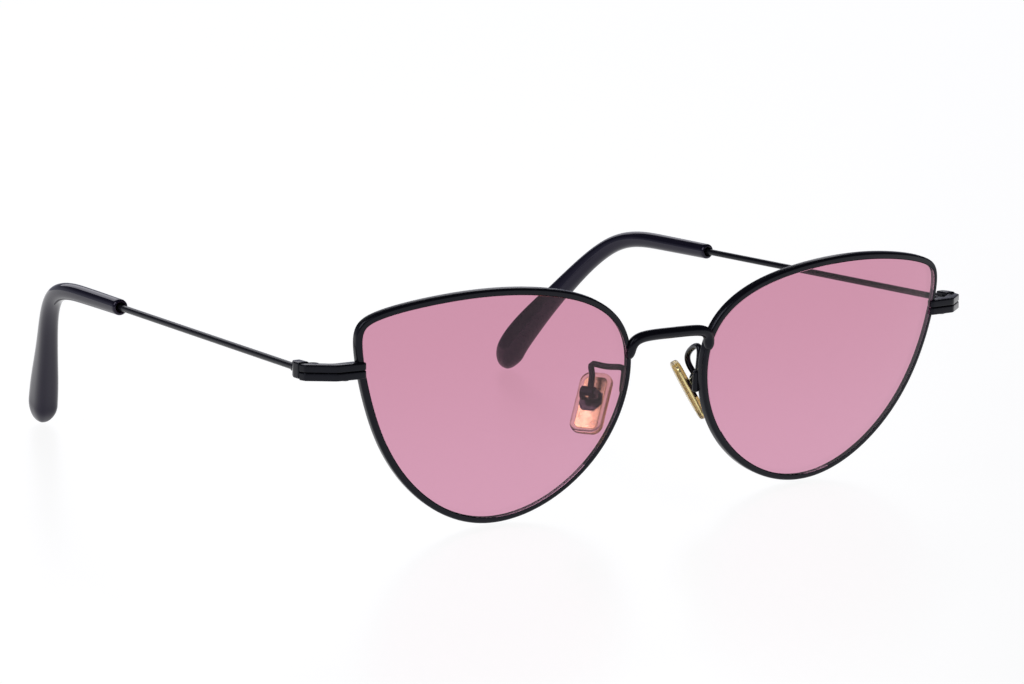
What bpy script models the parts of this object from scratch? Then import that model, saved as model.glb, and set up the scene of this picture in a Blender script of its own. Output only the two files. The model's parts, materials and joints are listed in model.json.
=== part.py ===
"""Cat eye sunglasses: a wire front with tinted lenses, rocking nose pads and two folding temples.

Everything is sized in millimetres and turned into metres by MM when a mesh is made.
X runs across the face (positive on the wearer's left), Y runs back along the temples, Z is up.
"""

import math

import bmesh
import bpy
import numpy as np
from mathutils import Vector

MM = 0.001
SIDES = {"left": 1, "right": -1}

# Stance: the level frame's origin is midway between the lenses, this high above the table.
LENS_DROP = 25.0
DEPTH_TO_MIDDLE = 65.85
FRONT_TILT = math.radians(8.3)

# Eyewire centre line: control points of a closed cubic spline, outwards and up from the lens datum.
OUTLINE = ((23.2, 10.3), (21.3, 14.1), (7.1, 17.2), (-7.5, 17.9), (-23.7, 15.2), (-33.7, 7.8),
           (-34.4, -4.5), (-29.2, -15.5), (-18.9, -23.4), (-5.8, -26.2), (7.2, -20.9), (18.1, -8.7))
STEPS_PER_SPAN = 5
LENS_OFFSET = 42.93
FACE_WRAP = math.radians(5.62)
BASE_RADIUS = 104.4

# Eyewire channel
WIRE_HALF_WIDTH = 0.62
WIRE_HALF_DEPTH = 0.88
WIRE_OUTER_ROUND = 0.46
WIRE_INNER_ROUND = 0.3
GROOVE_HALF_MOUTH = 0.44
GROOVE_HALF_FLOOR = 0.13
GROOVE_FLOOR = 0.15
WIRE_SLIT = 0.3
SLIT_HEIGHT = 4.9
SLIT_SPAN = (18.0, 26.0)
SLIT_DEPTH = (-6.0, 4.0)

# Lens
LENS_HALF_THICKNESS = 0.85
LENS_CLEARANCE = 0.3
BEVEL_ROOT = 0.26
BEVEL_TIP = 0.06
BEVEL_REACH = 0.42
LENS_RINGS = (0.4, 0.75)

# Bridge bar, half of its centre line, in the tilted front frame
BRIDGE_RADIUS = 1.0
BRIDGE_PLANE = 0.9
BRIDGE_HALF = ((8.75, 3.0), (8.75, 4.0), (8.6, 5.6), (6.7, 6.45), (3.6, 6.6), (1.2, 6.6))
BRIDGE_FOOT_INNER = 7.4
BRIDGE_FOOT_BACK = 1.03
FOOT_CUT_REACH = (12.0, 4.0, 9.0)

# Endpiece: one bent bar in plan, split level into an upper and a lower half
ENDPIECE_PLAN = ((64.2, 2.6), (69.5, 2.6), (73.8, 5.9), (74.1, 7.3), (71.85, 7.3), (71.6, 6.9), (68.9, 4.75),
                 (64.2, 4.75))
ENDPIECE_BOTTOM = 4.0
ENDPIECE_SPLIT = 5.4
ENDPIECE_TOP = 6.8
ENDPIECE_SPLIT_GAP = 0.2
ENDPIECE_EDGE = 0.2
WIRE_SCOOP = 1.1
SCOOP_HEIGHTS = (-3.0, 13.0)
LOCK_SCREW = (67.2, 3.7)
LOCK_SCREW_RADIUS = 0.42
LOCK_HEAD_RADIUS = 0.72
LOCK_HEAD_HEIGHT = 0.45
LOCK_THREAD_END = 6.3

# Hinge
PIN = (70.6, 8.6)
KNUCKLE_RADIUS = 1.15
KNUCKLE_BOTTOM = 3.7
KNUCKLE_TOP = 6.7
MIDDLE_KNUCKLE = (4.75, 5.65)
KNUCKLE_GAP = 0.1
FRONT_LEAF_PLAN = ((69.3, 5.4), (71.25, 6.95), (71.6, 7.6), (71.6, 8.6), (69.6, 8.6), (69.35, 7.4))
HINGE_SCREW_RADIUS = 0.42
HINGE_HEAD_RADIUS = 0.68
HINGE_HEAD_HEIGHT = 0.45
RUNNING_CLEARANCE = 0.07
SLOT_CLEARANCE = 0.2

# Temple
BLOCK_PLAN = ((71.95, 7.6), (74.15, 7.6), (74.1, 9.2), (73.5, 10.5), (71.95, 10.5))
BLOCK_BOTTOM = 4.15
BLOCK_TOP = 7.0
BLOCK_EDGE = 0.25
TEMPLE_LEAF_PLAN = ((70.8, 8.4), (71.75, 8.4), (71.75, 10.4), (71.1, 10.4), (70.3, 9.4))
TEMPLE_START = (72.55, 10.8, 5.6)
SLEEVE_START = (69.1, 77.8, 6.6)
TEMPLE_WIRE_RADIUS = 0.62
WIRE_SHORT_OF_TIP = 10.0
WIRE_STATIONS = 30
SLEEVE_BEND = ((67.7, 108.1, 6.9), (62.1, 120.0, -6.2), (56.9, 132.0, -20.2), (57.1, 132.3, -25.0))
SLEEVE_STRAIGHT = 15.0
SLEEVE_BORE = 0.92
SLEEVE_SIDES = 10
# Along the sleeve: distance from its mouth, height of the section, thickness of the section
SLEEVE_SECTIONS = ((0.0, 2.3, 2.3), (0.5, 3.05, 3.05), (22.0, 3.3, 3.3), (38.0, 3.6, 3.5), (48.0, 4.2, 3.9),
                   (56.0, 5.3, 4.5), (63.0, 6.2, 5.0), (67.0, 5.8, 4.7), (69.6, 4.3, 3.5), (70.8, 2.0, 1.6))
SLEEVE_SQUARENESS = 2.4
SLEEVE_END_CAP = 0.3
SLEEVE_STATIONS = (6.0, 56.0, 4.0)
BORE_STEP = 3.0

# Nose pads: the box centre, the pad's turn about the vertical and its lean, towards the nose at the top
PAD_PIVOT = (12.6, 8.75, -4.35)
PAD_SPLAY = math.radians(30)
PAD_LEAN = math.radians(24)
PAD_LENGTH = 11.7
PAD_WIDTH = 6.1
PAD_CORNER = 2.5
PAD_THICKNESS = 1.5
PAD_EDGE = 0.35
PAD_REACH = 1.6
PAD_DROP = 0.95
PAD_POCKET_MARGIN = 1.0
PAD_POCKET_DEPTH = 1.05
CORE_THICKNESS = 0.45
CORE_GAP = 0.2
TONGUE_THICKNESS = 0.7
TONGUE_RADIUS = 0.85
TONGUE_HALF_WIDTH = 0.77
BOX_RADIUS = 1.3
BOX_LENGTH = 2.5
BOX_SLOT = 1.0
BOX_BACK_WALL = 0.35
PAD_SCREW_RADIUS = 0.36
PAD_HEAD_RADIUS = 0.8
PAD_HEAD_HEIGHT = 0.4
ARM_RADIUS = 0.5
ARM_ROUTE = ((8.6, 4.2, -3.9), (8.5, 3.95, -1.6), (8.35, 3.6, 0.9), (9.0, 5.4, 0.9), (9.9, 7.6, 1.1),
             (10.8, 9.4, 1.6), (11.5, 8.7, -0.5), (11.85, 8.95, -2.6))

# Small allowances: between faces that touch, and the overlap of tool bodies that are joined
FINE_GAP = 0.12
FUSE = 0.05
SEAT_CLEARANCE = 0.1
SCREW_SLOT_HALF_WIDTH = 0.11
SCREW_SLOT_DEPTH = 0.22
CUT_PAST = 1.0


# ---------------------------------------------------------------- scene

def clear_scene():
    """Remove every object, so that the script gives the same result each run."""
    for old in list(bpy.data.objects):
        bpy.data.objects.remove(old, do_unlink=True)


def new_collection(name):
    group = bpy.data.collections.new(name)
    bpy.context.scene.collection.children.link(group)
    return group


def finish(name, colour, roughness, metallic, alpha=1.0):
    """A Principled material with one colour."""
    made = bpy.data.materials.new(name)
    made.use_nodes = True
    shader = made.node_tree.nodes["Principled BSDF"]
    shader.inputs["Base Color"].default_value = (*colour, 1.0)
    shader.inputs["Roughness"].default_value = roughness
    shader.inputs["Metallic"].default_value = metallic
    shader.inputs["Alpha"].default_value = alpha
    return made


def frame_empty(name, position, parent=None, rotation=(0, 0, 0)):
    """An empty that carries a group of pieces; the position is in millimetres under its parent."""
    empty = bpy.data.objects.new(name, None)
    empty.empty_display_size = 5 * MM
    empty.location = Vector(position) * MM
    empty.rotation_euler = rotation
    empty.parent = parent
    PARTS.objects.link(empty)
    return empty


def place(obj, group, material=None, parent=None):
    """Put an object in its collection, under its frame, with its material."""
    group.objects.link(obj)
    obj.parent = parent
    if material:
        obj.data.materials.clear()
        obj.data.materials.append(material)
    return obj


def make_cutter(obj):
    """Hide a tool body: it shapes other pieces and is no part itself."""
    obj.hide_render = True
    obj.display_type = "WIRE"
    return obj


def smooth(obj, degrees=35):
    """Smooth shading, with edges sharper than the angle kept crisp."""
    obj.data.shade_smooth()
    obj.data.set_sharp_from_angle(angle=math.radians(degrees))


def boolean(obj, tool, operation="DIFFERENCE"):
    modifier = obj.modifiers.new(tool.name, "BOOLEAN")
    modifier.operation = operation
    modifier.solver = "EXACT"
    modifier.object = tool


def bevel(obj, width, segments=1):
    modifier = obj.modifiers.new("rounded_edges", "BEVEL")
    modifier.width = width * MM
    modifier.segments = segments
    modifier.limit_method = "ANGLE"
    modifier.angle_limit = math.radians(40)


# ---------------------------------------------------------------- splines

def spline_span(p0, p1, p2, p3, steps):
    """Points of one span of a uniform cubic B-spline."""
    s = np.linspace(0, 1, steps, endpoint=False)[:, None]
    return ((1 - s) ** 3 * p0 + (3 * s ** 3 - 6 * s ** 2 + 4) * p1
            + (-3 * s ** 3 + 3 * s ** 2 + 3 * s + 1) * p2 + s ** 3 * p3) / 6


def closed_spline(control, steps):
    control = np.array(control, float)
    spans = [np.roll(control, -i, axis=0)[:4] for i in range(len(control))]
    return np.vstack([spline_span(*span, steps) for span in spans])


def open_spline(control, steps):
    """An open B-spline that starts and ends on its end points."""
    control = np.array(control, float)
    ends = (2 * control[0] - control[1], 2 * control[-1] - control[-2])
    padded = np.vstack([ends[0], control, ends[1]])
    spans = [spline_span(*padded[i:i + 4], steps) for i in range(len(padded) - 3)]
    return np.vstack(spans + [control[-1:]])


def arc_lengths(points):
    steps = np.linalg.norm(np.diff(points, axis=0), axis=1)
    return np.concatenate([[0], np.cumsum(steps)])


def at_lengths(points, wanted):
    """Points of a polyline at the given distances along it."""
    lengths = arc_lengths(points)
    return np.column_stack([np.interp(wanted, lengths, points[:, axis]) for axis in range(3)])


def outline_points(offset=0.0):
    """The eyewire outline moved outwards by an offset, as (outward, up) points."""
    base = closed_spline(OUTLINE, STEPS_PER_SPAN)
    along = np.roll(base, -1, axis=0) - np.roll(base, 1, axis=0)
    along /= np.linalg.norm(along, axis=1)[:, None]
    outwards = np.column_stack([along[:, 1], -along[:, 0]])
    if np.sum(outwards * base) < 0:
        outwards = -outwards
    return base + outwards * offset


def sag(points):
    """Depth of the lens sphere behind its front plane."""
    return (points[:, 0] ** 2 + points[:, 1] ** 2) / (2 * BASE_RADIUS)


# ---------------------------------------------------------------- shapes

def loft(name, rings, material, parent, close=False, cap_points=None):
    """Skin a row of unlike rings; the ends are closed by caps, or joined to each other."""
    mesh = bmesh.new()
    rows = [[mesh.verts.new(Vector(point) * MM) for point in ring] for ring in rings]
    pairs = list(zip(rows, rows[1:]))
    if close:
        pairs.append((rows[-1], rows[0]))
    count = len(rows[0])
    for first, second in pairs:
        for i in range(count):
            j = (i + 1) % count
            mesh.faces.new((first[i], first[j], second[j], second[i]))
    if cap_points:
        for row, point in zip((rows[0], rows[-1]), cap_points):
            tip = mesh.verts.new(Vector(point) * MM)
            for i in range(count):
                mesh.faces.new((row[i], row[(i + 1) % count], tip))
    elif not close:
        mesh.faces.new(rows[0])
        mesh.faces.new(rows[-1])
    bmesh.ops.recalc_face_normals(mesh, faces=mesh.faces)
    data = bpy.data.meshes.new(name)
    mesh.to_mesh(data)
    mesh.free()
    obj = place(bpy.data.objects.new(name, data), PARTS, material, parent)
    smooth(obj)
    return obj


def as_mesh(curve_object, group, material, parent):
    """Turn a curve into a welded mesh of the same name, so that it can be cut."""
    bpy.context.view_layer.update()
    depsgraph = bpy.context.evaluated_depsgraph_get()
    data = bpy.data.meshes.new_from_object(curve_object.evaluated_get(depsgraph))
    name = curve_object.name
    bpy.data.objects.remove(curve_object, do_unlink=True)
    work = bmesh.new()
    work.from_mesh(data)
    bmesh.ops.remove_doubles(work, verts=work.verts, dist=0.001 * MM)
    bmesh.ops.recalc_face_normals(work, faces=work.faces)
    work.to_mesh(data)
    work.free()
    obj = bpy.data.objects.new(name, data)
    return place(obj, group, material, parent)


def plate(name, plan, bottom, top, group, material=None, parent=None):
    """A flat outline drawn in plan and given a height."""
    curve = bpy.data.curves.new(name, "CURVE")
    curve.dimensions = "2D"
    curve.fill_mode = "BOTH"
    curve.extrude = (top - bottom) / 2 * MM
    spline = curve.splines.new("POLY")
    spline.points.add(len(plan) - 1)
    for point, (x, y) in zip(spline.points, plan):
        point.co = (x * MM, y * MM, 0, 1)
    spline.use_cyclic_u = True
    drawn = bpy.data.objects.new(name, curve)
    group.objects.link(drawn)
    made = as_mesh(drawn, group, material, parent)
    lift = Vector((0, 0, (top + bottom) / 2 * MM))
    for vertex in made.data.vertices:
        vertex.co += lift
    return made


def rod(name, points, radius, material, parent, sides=2):
    """A round wire along a row of points."""
    curve = bpy.data.curves.new(name, "CURVE")
    curve.dimensions = "3D"
    curve.bevel_depth = radius * MM
    curve.bevel_resolution = sides
    curve.use_fill_caps = True
    spline = curve.splines.new("POLY")
    spline.points.add(len(points) - 1)
    for point, position in zip(spline.points, points):
        point.co = (*(Vector(position) * MM), 1)
    drawn = bpy.data.objects.new(name, curve)
    PARTS.objects.link(drawn)
    made = as_mesh(drawn, PARTS, material, parent)
    smooth(made)
    return made


def cylinder(name, radius, bottom, top, centre, group, material=None, parent=None, sides=20, along="Z"):
    """A straight cylinder whose axis passes through the centre, along Z or Y."""
    mesh = bmesh.new()
    bmesh.ops.create_cone(mesh, cap_ends=True, segments=sides, radius1=radius * MM, radius2=radius * MM,
                          depth=(top - bottom) * MM)
    data = bpy.data.meshes.new(name)
    middle = (top + bottom) / 2
    for vertex in mesh.verts:
        x, y, z = vertex.co
        if along == "Z":
            vertex.co = (x + centre[0] * MM, y + centre[1] * MM, z + middle * MM)
        else:
            vertex.co = (x + centre[0] * MM, -z + middle * MM, y + centre[1] * MM)
    mesh.to_mesh(data)
    mesh.free()
    made = place(bpy.data.objects.new(name, data), group, material, parent)
    smooth(made)
    return made


def block(name, low, high, group, material=None, parent=None):
    """A box between two corners."""
    mesh = bmesh.new()
    bmesh.ops.create_cube(mesh, size=1)
    low, high = Vector(low) * MM, Vector(high) * MM
    for vertex in mesh.verts:
        for axis in range(3):
            vertex.co[axis] = high[axis] if vertex.co[axis] > 0 else low[axis]
    data = bpy.data.meshes.new(name)
    mesh.to_mesh(data)
    mesh.free()
    return place(bpy.data.objects.new(name, data), group, material, parent)


def mirrored(points, side, origin=(0, 0)):
    """Plan points taken to one side, measured from an origin."""
    return [(side * (x - origin[0]), y - origin[1]) for x, y in points]


def side_span(side, inner, outer):
    """The lower and higher X of a stretch that is given on the left side."""
    return sorted((side * inner, side * outer))


# ---------------------------------------------------------------- front: eyewires, lenses, bridge

def lens_frame(side_name):
    """The frame of one lens: local X outwards on the left, Y up, Z towards the front."""
    side = SIDES[side_name]
    return frame_empty(f"lens_frame_{side_name}", (side * LENS_OFFSET, 0, 0), FRONT_FRAME,
                       (math.radians(90), 0, side * FACE_WRAP))


def lens_local(points, side, forward):
    """Outline points on the lens sphere, with a step towards the front, in the lens frame."""
    depth = sag(points)
    return np.column_stack([side * points[:, 0], points[:, 1], forward - depth])


def eyewire_section():
    """The channel: a rounded bar with a V groove on its inner side, as (outward, forward) pairs."""
    w, d = WIRE_HALF_WIDTH, WIRE_HALF_DEPTH
    outer, inner = WIRE_OUTER_ROUND, WIRE_INNER_ROUND
    front = [(w, d - outer), (w - outer, d), (inner - w, d), (-w, d - inner), (-w, GROOVE_HALF_MOUTH),
             (-GROOVE_FLOOR, GROOVE_HALF_FLOOR)]
    back = [(x, -y) for x, y in reversed(front)]
    return front + back


def eyewire(side_name, parent):
    """The eyewire is one channel bent round the lens, slit where the lock closes it."""
    side = SIDES[side_name]
    base = outline_points()
    depth = sag(base)
    rings = []
    profiles = [outline_points(outward) for outward, _ in eyewire_section()]
    forwards = [forward for _, forward in eyewire_section()]
    for i in range(len(base)):
        rings.append([(side * profile[i, 0], profile[i, 1], forward - depth[i])
                      for profile, forward in zip(profiles, forwards)])
    made = loft(f"eyewire_{side_name}", rings, BLACK, parent, close=True)
    low_x, high_x = side_span(side, *SLIT_SPAN)
    slit = block(f"slit_cutter_{side_name}", (low_x, SLIT_HEIGHT - WIRE_SLIT / 2, SLIT_DEPTH[0]),
                 (high_x, SLIT_HEIGHT + WIRE_SLIT / 2, SLIT_DEPTH[1]), CUTTERS, parent=parent)
    boolean(made, make_cutter(slit))


def lens(side_name, parent):
    """The lens: a spherical shell whose bevelled edge sits in the eyewire's groove."""
    side = SIDES[side_name]
    edge_offset = -(WIRE_HALF_WIDTH + LENS_CLEARANCE)
    base = outline_points()
    depth = sag(base)
    edge = outline_points(edge_offset)
    tongue = outline_points(-BEVEL_REACH)
    centre = base.mean(axis=0)
    half = LENS_HALF_THICKNESS

    def face_rings(forward):
        inner = [centre + (edge - centre) * scale for scale in LENS_RINGS]
        return [lens_local(ring, side, forward) for ring in inner]

    def edge_ring(points, forward):
        return np.column_stack([side * points[:, 0], points[:, 1], forward - depth])

    rings = face_rings(half)
    rings += [edge_ring(edge, half), edge_ring(edge, BEVEL_ROOT), edge_ring(tongue, BEVEL_TIP),
              edge_ring(tongue, -BEVEL_TIP), edge_ring(edge, -BEVEL_ROOT), edge_ring(edge, -half)]
    rings += list(reversed(face_rings(-half)))
    middle = lens_local(centre[None, :], side, 0)[0]
    caps = (middle + (0, 0, half), middle - (0, 0, half))
    loft(f"lens_{side_name}", rings, TINT, parent, cap_points=caps)


def bridge():
    """A round bar arched between the eyewires, its feet turned down on to their front faces."""
    half = open_spline([(x, BRIDGE_PLANE, z) for x, z in BRIDGE_HALF], 4)
    other = half[::-1] * (-1, 1, 1)
    bar = rod("bridge", np.vstack([half, other]), BRIDGE_RADIUS, BLACK, FRONT_FRAME, sides=3)
    outer, back, top = FOOT_CUT_REACH
    for side_name, side in SIDES.items():
        low_x, high_x = side_span(side, BRIDGE_FOOT_INNER, outer)
        cutter = block(f"foot_cutter_{side_name}", (low_x, BRIDGE_FOOT_BACK, 0), (high_x, back, top), CUTTERS,
                       parent=FRONT_FRAME)
        boolean(bar, make_cutter(cutter))


# ---------------------------------------------------------------- endpieces and rim locks

def endpiece_half(name, side, bottom, top):
    """One level half of the endpiece bar."""
    half = plate(name, mirrored(ENDPIECE_PLAN, side), bottom, top, PARTS, BLACK, LEVEL_FRAME)
    bevel(half, ENDPIECE_EDGE)
    return half


def eyewire_scoop(side_name):
    """A tool body along the eyewire where the endpiece meets it."""
    side = SIDES[side_name]
    points = outline_points()
    low, high = SCOOP_HEIGHTS
    near = [i for i in range(len(points)) if points[i, 0] > 0 and low < points[i, 1] < high]
    near.sort(key=lambda i: points[i, 1])
    route = lens_local(points[near], side, 0)
    holder = bpy.data.objects[f"lens_frame_{side_name}"]
    made = rod(f"scoop_cutter_{side_name}", route, WIRE_SCOOP, BLACK, holder, sides=3)
    PARTS.objects.unlink(made)
    CUTTERS.objects.link(made)
    return make_cutter(made)


def screw(name, centre, radius, foot, head_start, head_end, head_radius, parent, along="Z"):
    """A screw: a shank and a wider slotted head, turned in one piece."""
    outwards = 1 if head_end > head_start else -1
    shank_low, shank_high = sorted((foot, head_start + outwards * FUSE))
    head_low, head_high = sorted((head_start, head_end))
    shank = cylinder(name, radius, shank_low, shank_high, centre, PARTS, STEEL, parent, sides=16, along=along)
    head = cylinder(f"{name}_head", head_radius, head_low, head_high, centre, CUTTERS, parent=parent, sides=20,
                    along=along)
    boolean(shank, make_cutter(head), "UNION")
    reach = head_radius + CUT_PAST
    slot_low = [centre[0] - reach, centre[1] - SCREW_SLOT_HALF_WIDTH, head_end - SCREW_SLOT_DEPTH]
    slot_high = [centre[0] + reach, centre[1] + SCREW_SLOT_HALF_WIDTH, head_end + SCREW_SLOT_DEPTH]
    if along == "Y":
        slot_low = [slot_low[0], slot_low[2], slot_low[1]]
        slot_high = [slot_high[0], slot_high[2], slot_high[1]]
    slot = block(f"{name}_slot", slot_low, slot_high, CUTTERS, parent=parent)
    boolean(shank, make_cutter(slot))
    return shank


def endpiece(side_name):
    """Upper and lower endpiece halves and the screw that closes them round the lens."""
    side = SIDES[side_name]
    gap = ENDPIECE_SPLIT_GAP / 2
    upper = endpiece_half(f"endpiece_upper_{side_name}", side, ENDPIECE_SPLIT + gap, ENDPIECE_TOP)
    lower = endpiece_half(f"endpiece_lower_{side_name}", side, ENDPIECE_BOTTOM, ENDPIECE_SPLIT - gap)
    scoop = eyewire_scoop(side_name)
    centre = (side * LOCK_SCREW[0], LOCK_SCREW[1])
    bore = cylinder(f"lock_bore_{side_name}", LOCK_SCREW_RADIUS + RUNNING_CLEARANCE, ENDPIECE_BOTTOM - CUT_PAST,
                    LOCK_THREAD_END + SEAT_CLEARANCE, centre, CUTTERS, parent=LEVEL_FRAME, sides=16)
    seat_top = ENDPIECE_BOTTOM + LOCK_HEAD_HEIGHT + SEAT_CLEARANCE
    seat = cylinder(f"lock_seat_{side_name}", LOCK_HEAD_RADIUS + SEAT_CLEARANCE, ENDPIECE_BOTTOM - CUT_PAST,
                    seat_top, centre, CUTTERS, parent=LEVEL_FRAME)
    for half in (upper, lower):
        boolean(half, scoop)
        boolean(half, make_cutter(bore))
    boolean(lower, make_cutter(seat))
    screw(f"rim_lock_screw_{side_name}", centre, LOCK_SCREW_RADIUS, LOCK_THREAD_END, seat_top - FUSE,
          ENDPIECE_BOTTOM + FUSE, LOCK_HEAD_RADIUS, LEVEL_FRAME)


# ---------------------------------------------------------------- hinges

def hinge_front(side_name, pin):
    """The front leaf: a spine soldered to the upper endpiece and the outer two knuckles."""
    side = SIDES[side_name]
    leaf = plate(f"hinge_front_leaf_{side_name}", mirrored(FRONT_LEAF_PLAN, side), KNUCKLE_BOTTOM, KNUCKLE_TOP,
                 PARTS, BLACK, LEVEL_FRAME)
    barrel = cylinder(f"front_barrel_{side_name}", KNUCKLE_RADIUS, KNUCKLE_BOTTOM, KNUCKLE_TOP, pin, CUTTERS,
                      parent=LEVEL_FRAME, sides=24)
    boolean(leaf, make_cutter(barrel), "UNION")
    slot_low, slot_high = MIDDLE_KNUCKLE[0] - KNUCKLE_GAP, MIDDLE_KNUCKLE[1] + KNUCKLE_GAP
    slot = cylinder(f"knuckle_slot_{side_name}", KNUCKLE_RADIUS + SLOT_CLEARANCE, slot_low, slot_high, pin,
                    CUTTERS, parent=LEVEL_FRAME, sides=24)
    boolean(leaf, make_cutter(slot))
    bore = cylinder(f"pin_bore_{side_name}", HINGE_SCREW_RADIUS + RUNNING_CLEARANCE, KNUCKLE_BOTTOM - CUT_PAST,
                    KNUCKLE_TOP + CUT_PAST, pin, CUTTERS, parent=LEVEL_FRAME, sides=16)
    boolean(leaf, make_cutter(bore))
    seat_floor = KNUCKLE_TOP - HINGE_HEAD_HEIGHT - SEAT_CLEARANCE - FUSE
    seat = cylinder(f"hinge_seat_{side_name}", HINGE_HEAD_RADIUS + SEAT_CLEARANCE, seat_floor,
                    KNUCKLE_TOP + CUT_PAST, pin, CUTTERS, parent=LEVEL_FRAME)
    boolean(leaf, make_cutter(seat))
    screw(f"hinge_screw_{side_name}", pin, HINGE_SCREW_RADIUS, KNUCKLE_BOTTOM + SEAT_CLEARANCE,
          seat_floor + SEAT_CLEARANCE, KNUCKLE_TOP - FUSE, HINGE_HEAD_RADIUS, LEVEL_FRAME)


def hinge_temple(side_name, parent):
    """The temple leaf: the middle knuckle and the arm that is soldered to the temple block."""
    side = SIDES[side_name]
    plan = mirrored(TEMPLE_LEAF_PLAN, side, PIN)
    low, high = (z - ENDPIECE_SPLIT for z in MIDDLE_KNUCKLE)
    leaf = plate(f"hinge_temple_leaf_{side_name}", plan, low, high, PARTS, BLACK, parent)
    barrel = cylinder(f"middle_barrel_{side_name}", KNUCKLE_RADIUS, low, high, (0, 0), CUTTERS, parent=parent,
                      sides=24)
    boolean(leaf, make_cutter(barrel), "UNION")
    bore = cylinder(f"middle_bore_{side_name}", HINGE_SCREW_RADIUS + RUNNING_CLEARANCE, low - CUT_PAST,
                    high + CUT_PAST, (0, 0), CUTTERS, parent=parent, sides=16)
    boolean(leaf, make_cutter(bore))


# ---------------------------------------------------------------- temples

def from_pin(side, point):
    """A level-frame point taken to one side and measured from the hinge pin."""
    return np.array((side * (point[0] - PIN[0]), point[1] - PIN[1], point[2] - ENDPIECE_SPLIT))


def sleeve_path(side):
    """Centre line of the moulded tip: straight, then one bend down behind the ear."""
    start = np.array(SLEEVE_START)
    along = start - np.array(TEMPLE_START)
    along /= np.linalg.norm(along)
    control = [start, start + along * SLEEVE_STRAIGHT, *np.array(SLEEVE_BEND)]
    return open_spline([from_pin(side, point) for point in control], 12)


def temple_block(side_name, parent):
    """The stamped block at the front of the temple, against which the endpiece stops."""
    side = SIDES[side_name]
    made = plate(f"temple_block_{side_name}", mirrored(BLOCK_PLAN, side, PIN), BLOCK_BOTTOM - ENDPIECE_SPLIT,
                 BLOCK_TOP - ENDPIECE_SPLIT, PARTS, BLACK, parent)
    bevel(made, BLOCK_EDGE)


def temple_wire(side_name, parent):
    """The temple wire, which runs on inside the moulded tip as its core."""
    side = SIDES[side_name]
    path = sleeve_path(side)
    inside = arc_lengths(path)[-1] - WIRE_SHORT_OF_TIP
    core = at_lengths(path, np.linspace(0, inside, WIRE_STATIONS))
    start = from_pin(side, TEMPLE_START)
    rod(f"temple_wire_{side_name}", np.vstack([start, core]), TEMPLE_WIRE_RADIUS, BLACK, parent)


def ring_axes(points):
    """Tangent, sideways and upward unit vectors along a path that never runs along X."""
    tangent = np.gradient(points, axis=0)
    tangent /= np.linalg.norm(tangent, axis=1)[:, None]
    sideways = np.array((1.0, 0, 0)) - tangent * tangent[:, :1]
    sideways /= np.linalg.norm(sideways, axis=1)[:, None]
    return tangent, sideways, np.cross(sideways, tangent)


def temple_tip(side_name, parent):
    """The moulded tip: a round sleeve that swells into a flattened paddle, bored for the wire."""
    side = SIDES[side_name]
    path = sleeve_path(side)
    length = arc_lengths(path)[-1]
    table = np.array(SLEEVE_SECTIONS)
    table[:, 0] *= length / (table[-1, 0] + SLEEVE_END_CAP)
    stations = np.unique(np.round(np.concatenate([table[:, 0], np.arange(*SLEEVE_STATIONS)]), 3))
    angle = np.linspace(0, 2 * math.pi, SLEEVE_SIDES, endpoint=False)
    power = 2 / SLEEVE_SQUARENESS
    cosine = np.sign(np.cos(angle)) * np.abs(np.cos(angle)) ** power
    sine = np.sign(np.sin(angle)) * np.abs(np.sin(angle)) ** power

    def rings_at(distances, height, thickness, cos_part, sin_part):
        centres = at_lengths(path, distances)
        _, sideways, upward = ring_axes(at_lengths(path, distances))
        return [centre + np.outer(cos_part, a) * t / 2 + np.outer(sin_part, b) * h / 2
                for centre, a, b, h, t in zip(centres, sideways, upward, height, thickness)]

    outer = rings_at(stations, np.interp(stations, table[:, 0], table[:, 1]),
                     np.interp(stations, table[:, 0], table[:, 2]), cosine, sine)
    depths = np.arange(0, length - WIRE_SHORT_OF_TIP + BORE_STEP, BORE_STEP)
    bore = rings_at(depths, [2 * SLEEVE_BORE] * len(depths), [2 * SLEEVE_BORE] * len(depths), np.cos(angle),
                    np.sin(angle))
    rings = list(reversed(bore)) + outer
    caps = (at_lengths(path, depths[-1:])[0], path[-1])
    loft(f"temple_tip_{side_name}", rings, TIP, parent, cap_points=caps)


def temple(side_name):
    """One temple: hinge leaf, block, wire and tip, all turning on the hinge pin."""
    side = SIDES[side_name]
    pin = (side * PIN[0], PIN[1])
    hinge_front(side_name, pin)
    axis = frame_empty(f"hinge_axis_{side_name}", (*pin, ENDPIECE_SPLIT), LEVEL_FRAME)
    hinge_temple(side_name, axis)
    temple_block(side_name, axis)
    temple_wire(side_name, axis)
    temple_tip(side_name, axis)


# ---------------------------------------------------------------- nose pads

def rounded_rectangle(width, height, corner, steps=5):
    """Outline of a rectangle with round corners, counter-clockwise."""
    points = []
    for quarter in range(4):
        cx = (width / 2 - corner) * (1 if quarter in (0, 3) else -1)
        cy = (height / 2 - corner) * (1 if quarter in (0, 1) else -1)
        for step in range(steps + 1):
            turn = math.radians(90 * (quarter + step / steps))
            points.append((cx + corner * math.cos(turn), cy + corner * math.sin(turn)))
    return points


def upright_plate(name, width, height, corner, near, far, side, drop, group, material, parent):
    """A rounded plate standing across the pad frame's X, from near to far towards the nose."""
    plan = rounded_rectangle(width, height, corner)
    made = plate(name, plan, near, far, group, material, parent)
    for vertex in made.data.vertices:
        across, up, out = vertex.co
        vertex.co = (-side * out, -side * across, up - drop * MM)
    return made


def pad_arm(side_name):
    """A bent wire from its solder foot on the back of the eyewire to the pad box."""
    side = SIDES[side_name]
    route = open_spline(np.array(ARM_ROUTE) * (side, 1, 1), 4)
    rod(f"pad_arm_{side_name}", route, ARM_RADIUS, BLACK, LEVEL_FRAME)


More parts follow.
